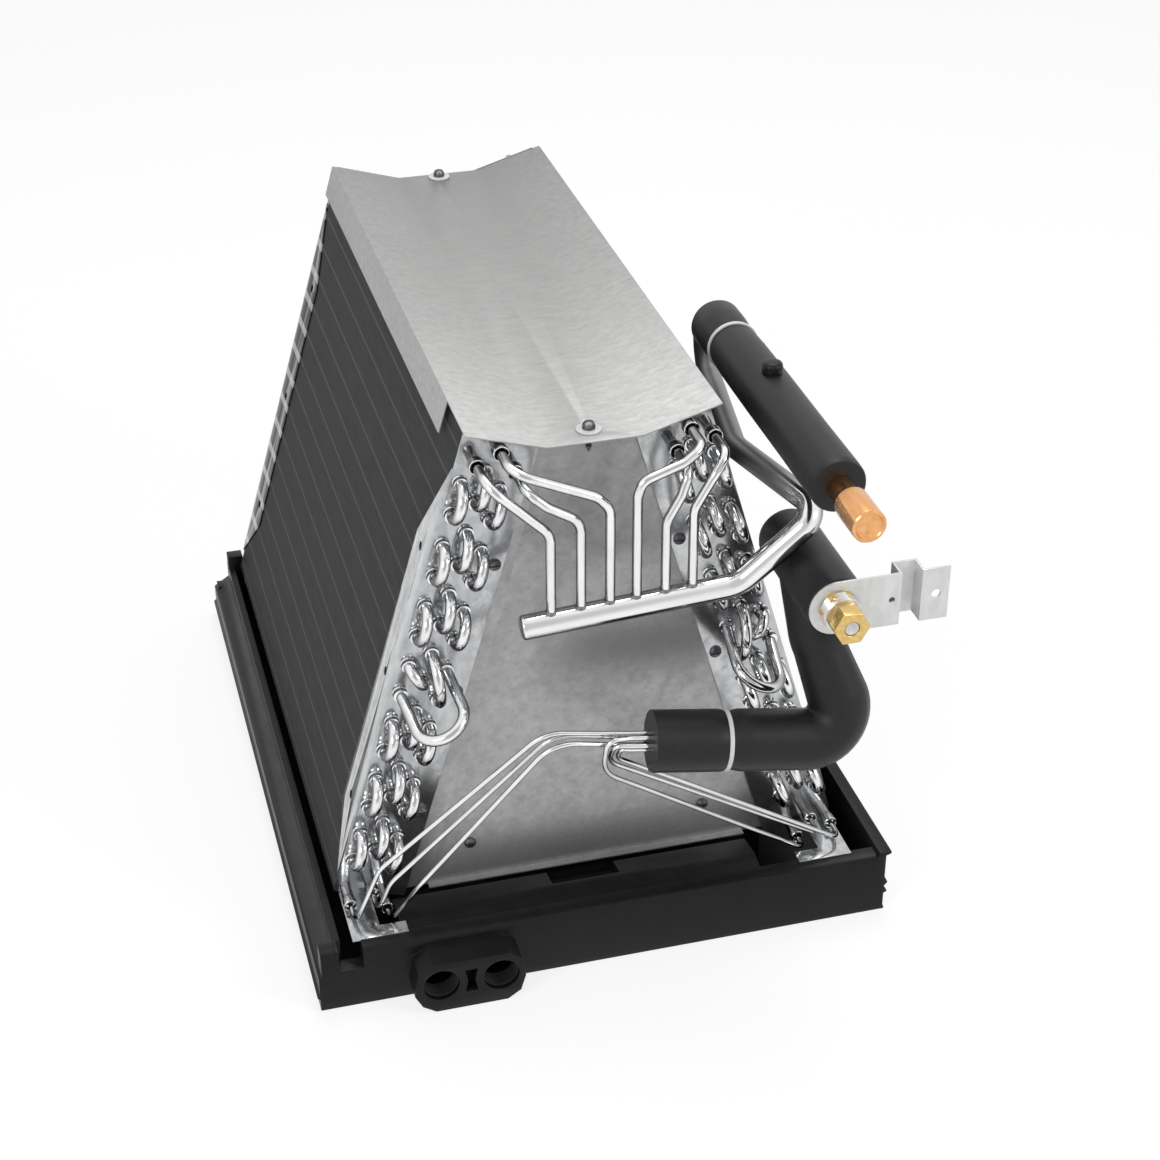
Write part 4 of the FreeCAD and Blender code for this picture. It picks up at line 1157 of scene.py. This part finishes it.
@dataclass
class DrainPan:
    """The moulded pan and the threads in its two drain sockets."""

    edge: float = 0.9 * MM
    socket_x: tuple[float, float] = (-0.121, -0.0807)
    socket_height: float = 0.0217
    socket_radius: float = 12.0 * MM
    mouth: float = -0.046
    thread_depth: float = 0.75 * MM
    thread_pitch: float = 1.8 * MM
    thread_turns: int = 7

    def build(self) -> None:
        """Dresses the moulding and cuts its threads."""
        deliver(dressed_copy("drain_pan", self.edge, 3), "moulded_drain_pan", Finishes.PAN, "drain_pan")
        self.build_threads()
        LOG.info("drain pan")

    def build_threads(self) -> None:
        """One thread, wound by a screw modifier, copied to both sockets."""
        master = ring(3, self.thread_depth, (self.socket_radius - 0.1 * MM, 0, 0),
                      (math.pi / 2, -math.pi / 2, 0))
        apply_modifier(master, "SCREW", axis="Z", angle=2 * math.pi, screw_offset=self.thread_pitch,
                       iterations=self.thread_turns, steps=32, render_steps=32)
        face_outwards(master)
        smooth(master)
        places = [along_y(Vector((x, self.mouth + 3 * MM, self.socket_height))) for x in self.socket_x]
        deliver(repeated(master, places), "drain_threads", Finishes.PAN)


@dataclass
class SuctionLine:
    """The feeders, header, riser and return leg, with the foam sleeve and the copper stub."""

    radius: float = 7.95 * MM
    feeder_radius: float = 3.175 * MM
    left: Vector = field(default_factory=lambda: mm(-55.0, -17.0, 270.0))
    right: Vector = field(default_factory=lambda: mm(83.0, -17.0, 278.4))
    riser: tuple[Vector, ...] = field(default_factory=lambda: (
        mm(134.0, -22.0, 326.0), mm(108.0, 70.0, 328.0)))
    feeder_bend: float = 14.0 * MM
    feeder_seat: float = 18.0 * MM
    feeders: tuple[tuple[Side, int, float, tuple[Tone, ...]], ...] = (
        (Side.LEFT, 1, -13.0, ((-37.5, -17.0, 333.0),)),
        (Side.LEFT, 3, -13.0, ((-39.0, -17.0, 352.0), (-18.5, -17.0, 339.5))),
        (Side.LEFT, 2, -13.0, ((-8.0, -17.0, 354.5), (0.0, -17.0, 345.0))),
        (Side.RIGHT, 2, -11.0, ((47.0, -15.0, 369.0), (20.0, -17.0, 361.0), (17.0, -17.0, 351.0))),
        (Side.RIGHT, 3, -13.0, ((45.0, -16.0, 347.0), (35.5, -17.0, 331.0))),
        (Side.RIGHT, 1, -11.0, ((66.0, -16.0, 358.5), (53.0, -17.0, 337.0))))
    sleeve_front: float = -0.083
    sleeve_back: float = 0.150
    sleeve_radius: float = 17.5 * MM
    axis_x: float = 0.1195
    axis_z: float = 0.378
    return_turn: float = 21.5 * MM
    stub_front: float = -0.131
    stub_radius: float = 10.5 * MM
    stub_length: float = 30.0 * MM
    tie_back: float = 0.112
    pinch: float = 1.5 * MM

    def build(self) -> None:
        """Builds the line from the tube ends to the stub."""
        self.build_line()
        self.build_feeders()
        self.build_sleeve()
        self.build_stub()
        LOG.info("suction line")

    def on_axis(self, y: float) -> Vector:
        """A point on the straight top length's axis."""
        return Vector((self.axis_x, y, self.axis_z))

    def build_line(self) -> None:
        """Header, riser, return leg and turn in one bent tube with a domed left end."""
        beyond = Vector((0, self.return_turn + 2 * MM, 0))
        top = self.on_axis(self.sleeve_back)
        low = top + Vector((2.5 * MM, 0, -2 * self.return_turn))
        corners = [self.left, self.right, *self.riser, low + beyond, top + beyond, top]
        turn = self.return_turn - 1.5 * MM
        line = bent_tube(corners, [24 * MM, 13 * MM, 20 * MM, turn, turn], self.radius, 14)
        crown = turned([(self.radius, -1.2 * MM), (self.radius, 0), (self.radius - 0.5 * MM, 1.1 * MM),
                        (self.radius - 1.6 * MM, 1.7 * MM), (self.radius - 4 * MM, 1.9 * MM)], 32)
        crown.matrix_world = axes_place(self.left, self.left - self.right, UPWARD)
        apply_place(crown)
        deliver(join([line, crown]), "suction_line", Finishes.LINE, "suction_header")

    def header_point(self, x: float) -> Vector:
        """The header's axis below a feeder."""
        run = self.right - self.left
        return self.left + run * ((x - self.left.x) / run.x)

    def build_feeders(self) -> None:
        """The six outlet tubes down to the header, with a braze ring at each foot."""
        feet = []
        up = Vector((self.left.z - self.right.z, 0, self.right.x - self.left.x)).normalized()
        for index, (side, row, lead, places) in enumerate(self.feeders, 1):
            mouth = SLABS.tube_end(side, row, 1, SLABS.sheet_front - self.feeder_seat)
            corners = [mouth, Vector((mouth.x, lead * MM, mouth.z))] + [mm(*place) for place in places]
            foot = self.header_point(corners[-1].x)
            corners.append(foot)
            tube = bent_tube(corners, hand_bends(corners, self.feeder_bend), self.feeder_radius)
            deliver(tube, f"smooth_feeder_{index}", Finishes.TUBE, f"feeder_tube_{index}")
            feet.append(axes_place(foot + up * (self.radius - MM), up, FORWARD))
        foot_ring = turned([(4.3 * MM, 0), (3.7 * MM, 1.1 * MM), (3.2 * MM, 1.7 * MM)], 20)
        deliver(repeated(foot_ring, feet), "header_braze_rings", Finishes.BRAZE)

    def build_sleeve(self) -> None:
        """The foam sleeve, pinched under its tie, with a bored and slightly domed front end."""
        length = self.sleeve_back - self.sleeve_front
        tie = self.tie_back - self.sleeve_front
        full = self.sleeve_radius
        rings = [(8.3 * MM, 0.6 * MM), (full - 2.2 * MM, 0.2 * MM), (full - 0.8 * MM, 0.9 * MM),
                 (full - 0.15 * MM, 2.6 * MM), (full, 8 * MM), (full - 0.25 * MM, 60 * MM),
                 (full - 0.1 * MM, 120 * MM), (full - 0.3 * MM, tie - 22 * MM),
                 (full - 0.9 * MM, tie - 6 * MM), (full - self.pinch, tie), (full - 0.9 * MM, tie + 6 * MM),
                 (full - 0.1 * MM, tie + 18 * MM), (full - 0.2 * MM, length - 3 * MM),
                 (full - 1.2 * MM, length - 0.8 * MM), (full - 3 * MM, length),
                 (8.3 * MM, length - 0.5 * MM)]
        sleeve = turned(rings, 48)
        sleeve.matrix_world = along_y(self.on_axis(self.sleeve_front))
        deliver(sleeve, "suction_foam_sleeve", Finishes.FOAM, "foam_sleeve_suction")

    def build_stub(self) -> None:
        """The copper stub: a tube swaged wider at its closed front end."""
        wide = self.stub_length
        rings = [(self.stub_radius - 2.6 * MM, 0.9 * MM), (self.stub_radius - 2.0 * MM, 0.1 * MM),
                 (self.stub_radius - 0.8 * MM, 0), (self.stub_radius - 0.1 * MM, 0.8 * MM),
                 (self.stub_radius, 1.8 * MM), (self.stub_radius, wide - MM),
                 (self.stub_radius - 0.3 * MM, wide), (self.radius + 0.3 * MM, wide + 4 * MM),
                 (self.radius, wide + 5 * MM), (self.radius, self.sleeve_front - self.stub_front + 20 * MM)]
        stub = turned(rings, 40)
        stub.matrix_world = along_y(self.on_axis(self.stub_front))
        deliver(stub, "copper_suction_stub", Finishes.COPPER, "suction_stub")


@dataclass
class LiquidLine:
    """The foam-wrapped valve and elbow with the six distributor tubes."""

    radius: float = 20.0 * MM
    left: Vector = field(default_factory=lambda: mm(19.0, -45.0, 190.0))
    route: tuple[Vector, ...] = field(default_factory=lambda: (
        mm(151.0, -57.0, 175.6), mm(131.0, -35.0, 240.0)))
    elbow_bend: float = 21.0 * MM
    tie_share: float = 0.36
    pinch: float = 0.93
    inlet_x: float = 0.131
    inlet_z: float = 0.282
    bracket_back: float = -0.0635
    tube_radius: float = 1.6 * MM
    tube_spread: float = 5.0 * MM
    tube_lead: float = 14.0 * MM
    tube_bend: float = 25.0 * MM
    tube_seat: float = 19.0 * MM
    tubes: tuple[tuple[Side, int, tuple[Tone, ...], float], ...] = (
        (Side.LEFT, 1, ((-48.0, -38.0, 204.0), (-152.0, -12.0, 98.0)), -6.0),
        (Side.LEFT, 2, ((-42.0, -36.0, 200.0), (-145.0, -12.0, 86.0)), -6.0),
        (Side.LEFT, 3, ((-44.0, -43.0, 199.0), (-128.0, -22.0, 88.0)), -1.0),
        (Side.RIGHT, 1, ((0.0, -45.5, 188.0), (-2.0, -40.0, 178.0)), -6.0),
        (Side.RIGHT, 2, ((-5.0, -47.5, 192.5), (-7.0, -38.0, 174.5)), -6.0),
        (Side.RIGHT, 3, ((-10.0, -48.0, 197.5), (-12.0, -44.0, 171.0)), -1.0))

    def build(self) -> None:
        """Builds the sleeve and the tubes."""
        self.build_sleeve()
        self.build_tubes()
        LOG.info("liquid line")

    def build_sleeve(self) -> None:
        """The elbow, pinched under its tie, and the valve's bulge in one wrapped piece."""
        valve = self.inlet(-15.0 * MM)
        elbow = bent_tube([self.left, *self.route, valve], [self.elbow_bend, 30 * MM], self.radius, 16,
                          (1.0, 1.0, 1.0, 0.86, 0.9, 1.0))
        way = (self.route[0] - self.left).normalized()
        with on_the_bench(elbow):
            pick(elbow, "verts", lambda vert: abs((vert.co - self.tie_spot).dot(way)) < 3.5 * MM)
            bpy.ops.transform.resize(value=(self.pinch,) * 3, center_override=self.tie_spot)
        bulge = turned([(self.radius - 2 * MM, 0), (self.radius - 0.4 * MM, 0.8 * MM), (self.radius, 4 * MM),
                        (self.radius - 0.2 * MM, 60 * MM), (self.radius, 88 * MM),
                        (self.radius - 1.2 * MM, 91.5 * MM), (self.radius - 5 * MM, 93.5 * MM)], 40)
        bulge.matrix_world = along_y(self.inlet(self.bracket_back))
        apply_place(bulge)
        deliver(join([elbow, bulge]), "liquid_foam_sleeve", Finishes.FOAM, "foam_sleeve_liquid")

    def inlet(self, y: float) -> Vector:
        """A point on the inlet fitting's axis."""
        return Vector((self.inlet_x, y, self.inlet_z))

    @property
    def tie_spot(self) -> Vector:
        """The middle of the tie, on the run from the open end to the elbow."""
        return self.left.lerp(self.route[0], self.tie_share)

    def build_tubes(self) -> None:
        """The thin tubes from the sleeve's open end to the lowest tube ends."""
        away = (self.left - self.route[0]).normalized()
        level = away.cross(UPWARD).normalized()
        for index, (side, row, places, last) in enumerate(self.tubes):
            spread = Matrix.Rotation(math.radians(60 * (index - 1)), 3, away) @ level * self.tube_spread
            start = self.left + spread
            mouth = SLABS.tube_end(side, row, SLABS.tube_count, SLABS.sheet_front - self.tube_seat)
            corners = [start, start + away * self.tube_lead] + [mm(*place) for place in places]
            corners += [Vector((mouth.x, last * MM, mouth.z)), mouth]
            tube = bent_tube(corners, hand_bends(corners, self.tube_bend), self.tube_radius, 8)
            deliver(tube, f"smooth_distributor_{index + 1}", Finishes.TUBE, f"distributor_tube_{index + 1}")


@dataclass
class Fittings:
    """The inlet fitting with its nut and plug, the ties, the service cap and the screws."""

    collar_radius: float = 12.2 * MM
    collar_front: float = -0.0765
    washer_radius: float = 8.0 * MM

    def build(self) -> None:
        """Builds every small fitting."""
        for node, name, edge in (("liquid_fitting", "brass_inlet_fitting", 0.5 * MM),
                                 ("flare_nut", "brass_flare_nut", 0.8 * MM)):
            deliver(dressed_copy(node, edge, 3), name, Finishes.BRASS, node)
        self.build_collar()
        self.build_plug()
        self.build_ties()
        self.build_cap()
        self.build_screws()
        LOG.info("fittings")

    def build_collar(self) -> None:
        """The plated ridged collar between the bracket and the nut."""
        rings = [(9.0 * MM, 0)]
        rings += [(self.collar_radius - 0.7 * MM * (step % 2), (0.6 + 0.8 * step) * MM) for step in range(13)]
        collar = turned(rings + [(9.0 * MM, 10.8 * MM)], 40)
        collar.matrix_world = along_y(LiquidLine().inlet(self.collar_front))
        deliver(collar, "plated_collar", Finishes.NICKEL)

    def build_plug(self) -> None:
        """The white sealing plug with its rolled rim and dished face."""
        low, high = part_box("sealing_plug")
        radius = (high.x - low.x) / 2
        length = high.y - low.y
        rings = [(radius - 2.4 * MM, 1.6 * MM), (radius - 1.4 * MM, 0.3 * MM), (radius - 0.6 * MM, 0),
                 (radius - 0.1 * MM, 0.6 * MM), (radius, 1.4 * MM), (radius, length - 0.4 * MM),
                 (radius - 0.4 * MM, length)]
        plug = turned(rings)
        plug.matrix_world = along_y(LiquidLine().inlet(low.y))
        deliver(plug, "white_sealing_plug", Finishes.WHITE, "sealing_plug")

    def build_ties(self) -> None:
        """Both cable ties, each a band with its locking head."""
        line = SuctionLine()
        wrap = LiquidLine()
        run = wrap.route[0] - wrap.left
        places = {"suction": (line.on_axis(line.tie_back), -FORWARD, line.sleeve_radius - line.pinch),
                  "liquid": (wrap.tie_spot, run.normalized(), wrap.radius * wrap.pinch)}
        for word, (middle, axis, radius) in places.items():
            band = self.tie(radius + 0.1 * MM)
            band.matrix_world = axes_place(middle, axis, -UPWARD)
            deliver(band, f"nylon_tie_{word}", Finishes.WHITE, f"cable_tie_{word}")

    def tie(self, radius: float, width: float = 2.8 * MM, thickness: float = 1.2 * MM) -> bpy.types.Object:
        """One cable tie round its own Z axis.

        Args:
            radius: The band's inner radius.
            width: The band's width.
            thickness: The band's thickness.

        Returns:
            The tie.
        """
        band = ring(64, radius, (0, 0, -width / 2))
        with on_the_bench(band):
            bpy.ops.mesh.select_mode(type="EDGE")
            bpy.ops.mesh.select_all(action="SELECT")
            bpy.ops.mesh.extrude_region_move(TRANSFORM_OT_translate={"value": (0, 0, width)})
        face_outwards(band)
        apply_modifier(band, "SOLIDIFY", thickness=thickness, offset=1.0, use_even_offset=True)
        soften(band, 0.3 * MM)
        head = block((6.5 * MM, 1.1 * MM, width + 1.6 * MM), (0, radius + thickness / 2, 0))
        with on_the_bench(head):
            pick(head, "faces", lambda face: face.normal.y > 0.9)
            bpy.ops.mesh.inset(thickness=1.2 * MM)
            bpy.ops.transform.translate(value=(0, -0.5 * MM, 0))
        soften(head, 0.25 * MM)
        return join([band, head])

    def build_cap(self) -> None:
        """The ribbed cap of the service port, with a groove round its middle."""
        low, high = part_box("service_port_cap")
        radius = (high.x - low.x) / 2
        height = high.z - low.z
        rings = [(radius - 0.2 * MM, 0), (radius, 0.4 * MM), (radius, height * 0.52),
                 (radius - 0.6 * MM, height * 0.56), (radius - 0.6 * MM, height * 0.62),
                 (radius - 0.1 * MM, height * 0.66),
                 (radius - 0.3 * MM, height - 1.6 * MM), (radius - 1.1 * MM, height - 0.5 * MM),
                 (radius - 2.4 * MM, height)]
        cap = turned(rings, 48)
        with on_the_bench(cap):
            pick(cap, "verts", lambda vert: 0.3 * MM < vert.co.z < height * 0.66 and
                 round(math.atan2(vert.co.y, vert.co.x) / (math.tau / 48)) % 4 == 0)
            bpy.ops.transform.resize(value=(0.95, 0.95, 1), center_override=(0, 0, height / 3))
        cap.matrix_world = Matrix.Translation(((low.x + high.x) / 2, (low.y + high.y) / 2, low.z))
        deliver(cap, "black_service_cap", Finishes.BLACK, "service_port_cap")

    def build_screws(self) -> None:
        """Slotted screws on the sheets, and the cover screws on their washers."""
        for node in ("sheet_screws", "delta_screws"):
            places = [along_y(spot, -1) for spot in self.solid_centres(node)]
            deliver(repeated(self.slotted_head(), places), f"slotted_{node}", Finishes.SCREW, node)
        tops = repeated(self.slotted_head(), [Matrix.Translation(spot) @ Matrix.Scale(1.6, 4, UPWARD)
                                              for spot in self.solid_centres("cover_screws")])
        low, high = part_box("cover_washers")
        seats = [Vector((0, y, low.z)) for y in (low.y + self.washer_radius, high.y - self.washer_radius)]
        thread = [(1.45 * MM + 0.5 * MM * (step % 2), -12 * MM + 0.5 * MM * step) for step in range(24)]
        shank = turned([(0.4 * MM, -16 * MM), (1.9 * MM, -13 * MM), (1.9 * MM, -12.4 * MM)] + thread, 16)
        shanks = repeated(shank, [Matrix.Translation(seat + UPWARD * 1.2 * MM) for seat in seats])
        deliver(join([tops, shanks]), "slotted_cover_screws", Finishes.SCREW, "cover_screws")
        wide = self.washer_radius
        washer = turned([(2.3 * MM, 0), (wide - 0.3 * MM, 0), (wide, 0.3 * MM), (wide, 0.9 * MM),
                         (wide - 0.3 * MM, 1.2 * MM), (2.3 * MM, 1.2 * MM)], 40)
        washers = repeated(washer, [Matrix.Translation(seat) for seat in seats])
        deliver(washers, "white_cover_washers", Finishes.WHITE, "cover_washers")

    def solid_centres(self, node: str) -> list[Vector]:
        """The foot of each screw head of a node, from its loose parts.

        Args:
            node: The CAD node that holds the screws.

        Returns:
            The middle of each head's seat.
        """
        mesh = bmesh.new()
        mesh.from_mesh(frame["nodes"][node].data)
        bmesh.ops.remove_doubles(mesh, verts=mesh.verts, dist=0.005 * MM)
        centres = []
        left = dict.fromkeys(mesh.verts)
        while left:
            island = []
            front = [left.popitem()[0]]
            while front:
                vert = front.pop()
                island.append(vert)
                beside = [edge.other_vert(vert) for edge in vert.link_edges]
                front += [other for other in beside if other in left]
                for other in beside:
                    left.pop(other, None)
            low = Vector([min(vert.co[axis] for vert in island) for axis in range(3)])
            high = Vector([max(vert.co[axis] for vert in island) for axis in range(3)])
            middle = (low + high) / 2
            if node == "cover_screws":
                centres.append(Vector((middle.x, middle.y, high.z - 3 * MM)))
            else:
                centres.append(Vector((middle.x, high.y, middle.z)))
        mesh.free()
        return centres

    def slotted_head(self) -> bpy.types.Object:
        """A low domed screw head with a real slot."""
        head = turned([(4.15 * MM, 0), (4.2 * MM, 0.5 * MM), (4.0 * MM, 1.5 * MM), (3.2 * MM, 2.5 * MM),
                       (1.6 * MM, 2.95 * MM)], 24)
        slot = block((9 * MM, 1.1 * MM, 2.2 * MM), (0, 0, 2.9 * MM))
        apply_modifier(head, "BOOLEAN", operation="DIFFERENCE", object=slot)
        bpy.data.objects.remove(slot)
        smooth(head)
        return head


@dataclass(frozen=True)
class Studio:
    """The white stage, the soft lights and the camera."""

    camera_place: Vector = field(default_factory=lambda: Vector((-0.33413, -1.17205, 1.03326)))
    camera_turn: tuple[float, float, float] = (-15.252, 58.459, -0.105)
    lens: float = 71.506
    floor_half: float = 9.0
    lamps: tuple[tuple[Vector, float, float], ...] = field(default_factory=lambda: (
        (Vector((-1.6, -1.2, 1.5)), 0.9, 14.0), (Vector((1.5, -1.3, 1.4)), 0.8, 13.0),
        (Vector((0.3, 0.8, 2.2)), 1.3, 14.0)))
    ambient: float = 0.40

    def build(self) -> None:
        """Sets the stage."""
        self.build_world()
        self.build_floor()
        self.build_lamps()
        self.build_camera()
        bpy.context.scene.view_settings.view_transform = "Standard"
        LOG.info("studio")

    def build_world(self) -> None:
        """A white surround that lights the coil only softly."""
        world = bpy.data.worlds.new("studio")
        bpy.context.scene.world = world
        world.use_nodes = True
        bench = Bench(world.node_tree)
        background = world.node_tree.nodes["Background"]
        background.inputs["Color"].default_value = (1, 1, 1, 1)
        level = bench.span(self.seen_or_mirrored(bench), (0, 1), (self.ambient, 1.0))
        bench.wire(level, background.inputs["Strength"])

    def seen_or_mirrored(self, bench: Bench) -> bpy.types.NodeSocket:
        """One where the camera, a mirroring surface or a clear one looks on, and nought elsewhere."""
        light = bench.add("LightPath").outputs
        mirrored = bench.math("MAXIMUM", light["Is Glossy Ray"], light["Is Transmission Ray"])
        return bench.math("MAXIMUM", light["Is Camera Ray"], mirrored)

    def build_floor(self) -> None:
        """A pale floor that reads as white and keeps a soft shadow."""
        bpy.ops.object.select_all(action="DESELECT")
        bpy.ops.mesh.primitive_plane_add(size=2 * self.floor_half, location=(0, 0, -0.0005))
        floor = bpy.context.active_object
        floor.name = "studio_floor"
        material = bpy.data.materials.new("pale_floor")
        material.use_nodes = True
        bench = Bench(material.node_tree)
        nodes = material.node_tree.nodes
        nodes.remove(nodes["Principled BSDF"])
        plain = bench.add("BsdfDiffuse")
        plain.inputs["Color"].default_value = (0.8, 0.8, 0.8, 1)
        faint = bench.add("BsdfDiffuse")
        faint.inputs["Color"].default_value = (0.3, 0.3, 0.3, 1)
        glow = bench.add("Emission")
        glow.inputs["Strength"].default_value = 0.78
        seen = bench.add("AddShader")
        bench.wire(faint.outputs[0], seen.inputs[0])
        bench.wire(glow.outputs[0], seen.inputs[1])
        mix = bench.add("MixShader")
        bench.wire(self.seen_or_mirrored(bench), mix.inputs[0])
        bench.wire(plain.outputs[0], mix.inputs[1])
        bench.wire(seen.outputs[0], mix.inputs[2])
        bench.wire(mix.outputs[0], nodes["Material Output"].inputs["Surface"])
        floor.data.materials.append(material)

    def build_lamps(self) -> None:
        """Soft area lamps that look at the coil."""
        target = Vector((0, 0.2, 0.2))
        for index, (place, size, watts) in enumerate(self.lamps, 1):
            lamp = bpy.data.lights.new(f"soft_lamp_{index}", "AREA")
            lamp.shape = "DISK"
            lamp.size = size
            lamp.energy = watts
            piece = bpy.data.objects.new(lamp.name, lamp)
            piece.location = place
            piece.rotation_euler = (target - place).to_track_quat("-Z", "Y").to_euler()
            bpy.context.scene.collection.objects.link(piece)

    def build_camera(self) -> None:
        """The camera at the photograph's place, turned about Z, X and its own axis."""
        camera = bpy.data.cameras.new("camera")
        camera.lens = self.lens
        camera.sensor_width = 36.0
        camera.clip_start = 0.05
        camera.clip_end = 60.0
        piece = bpy.data.objects.new("camera", camera)
        yaw, pitch, roll = (math.radians(angle) for angle in self.camera_turn)
        turn = Matrix.Rotation(yaw, 4, "Z") @ Matrix.Rotation(pitch, 4, "X") @ Matrix.Rotation(roll, 4, "Z")
        piece.matrix_world = Matrix.Translation(self.camera_place) @ turn
        bpy.context.scene.collection.objects.link(piece)
        bpy.context.scene.camera = piece


def main() -> None:
    """Builds the coil in order."""
    logging.basicConfig(level=logging.INFO, format="%(message)s")
    for side in Side:
        FinPack(side).build()
        TubeCircuit(side).build()
    for assembly in (SheetMetal(), DrainPan(), SuctionLine(), LiquidLine(), Fittings(), Studio()):
        assembly.build()


if __name__ == "__main__":
    main()
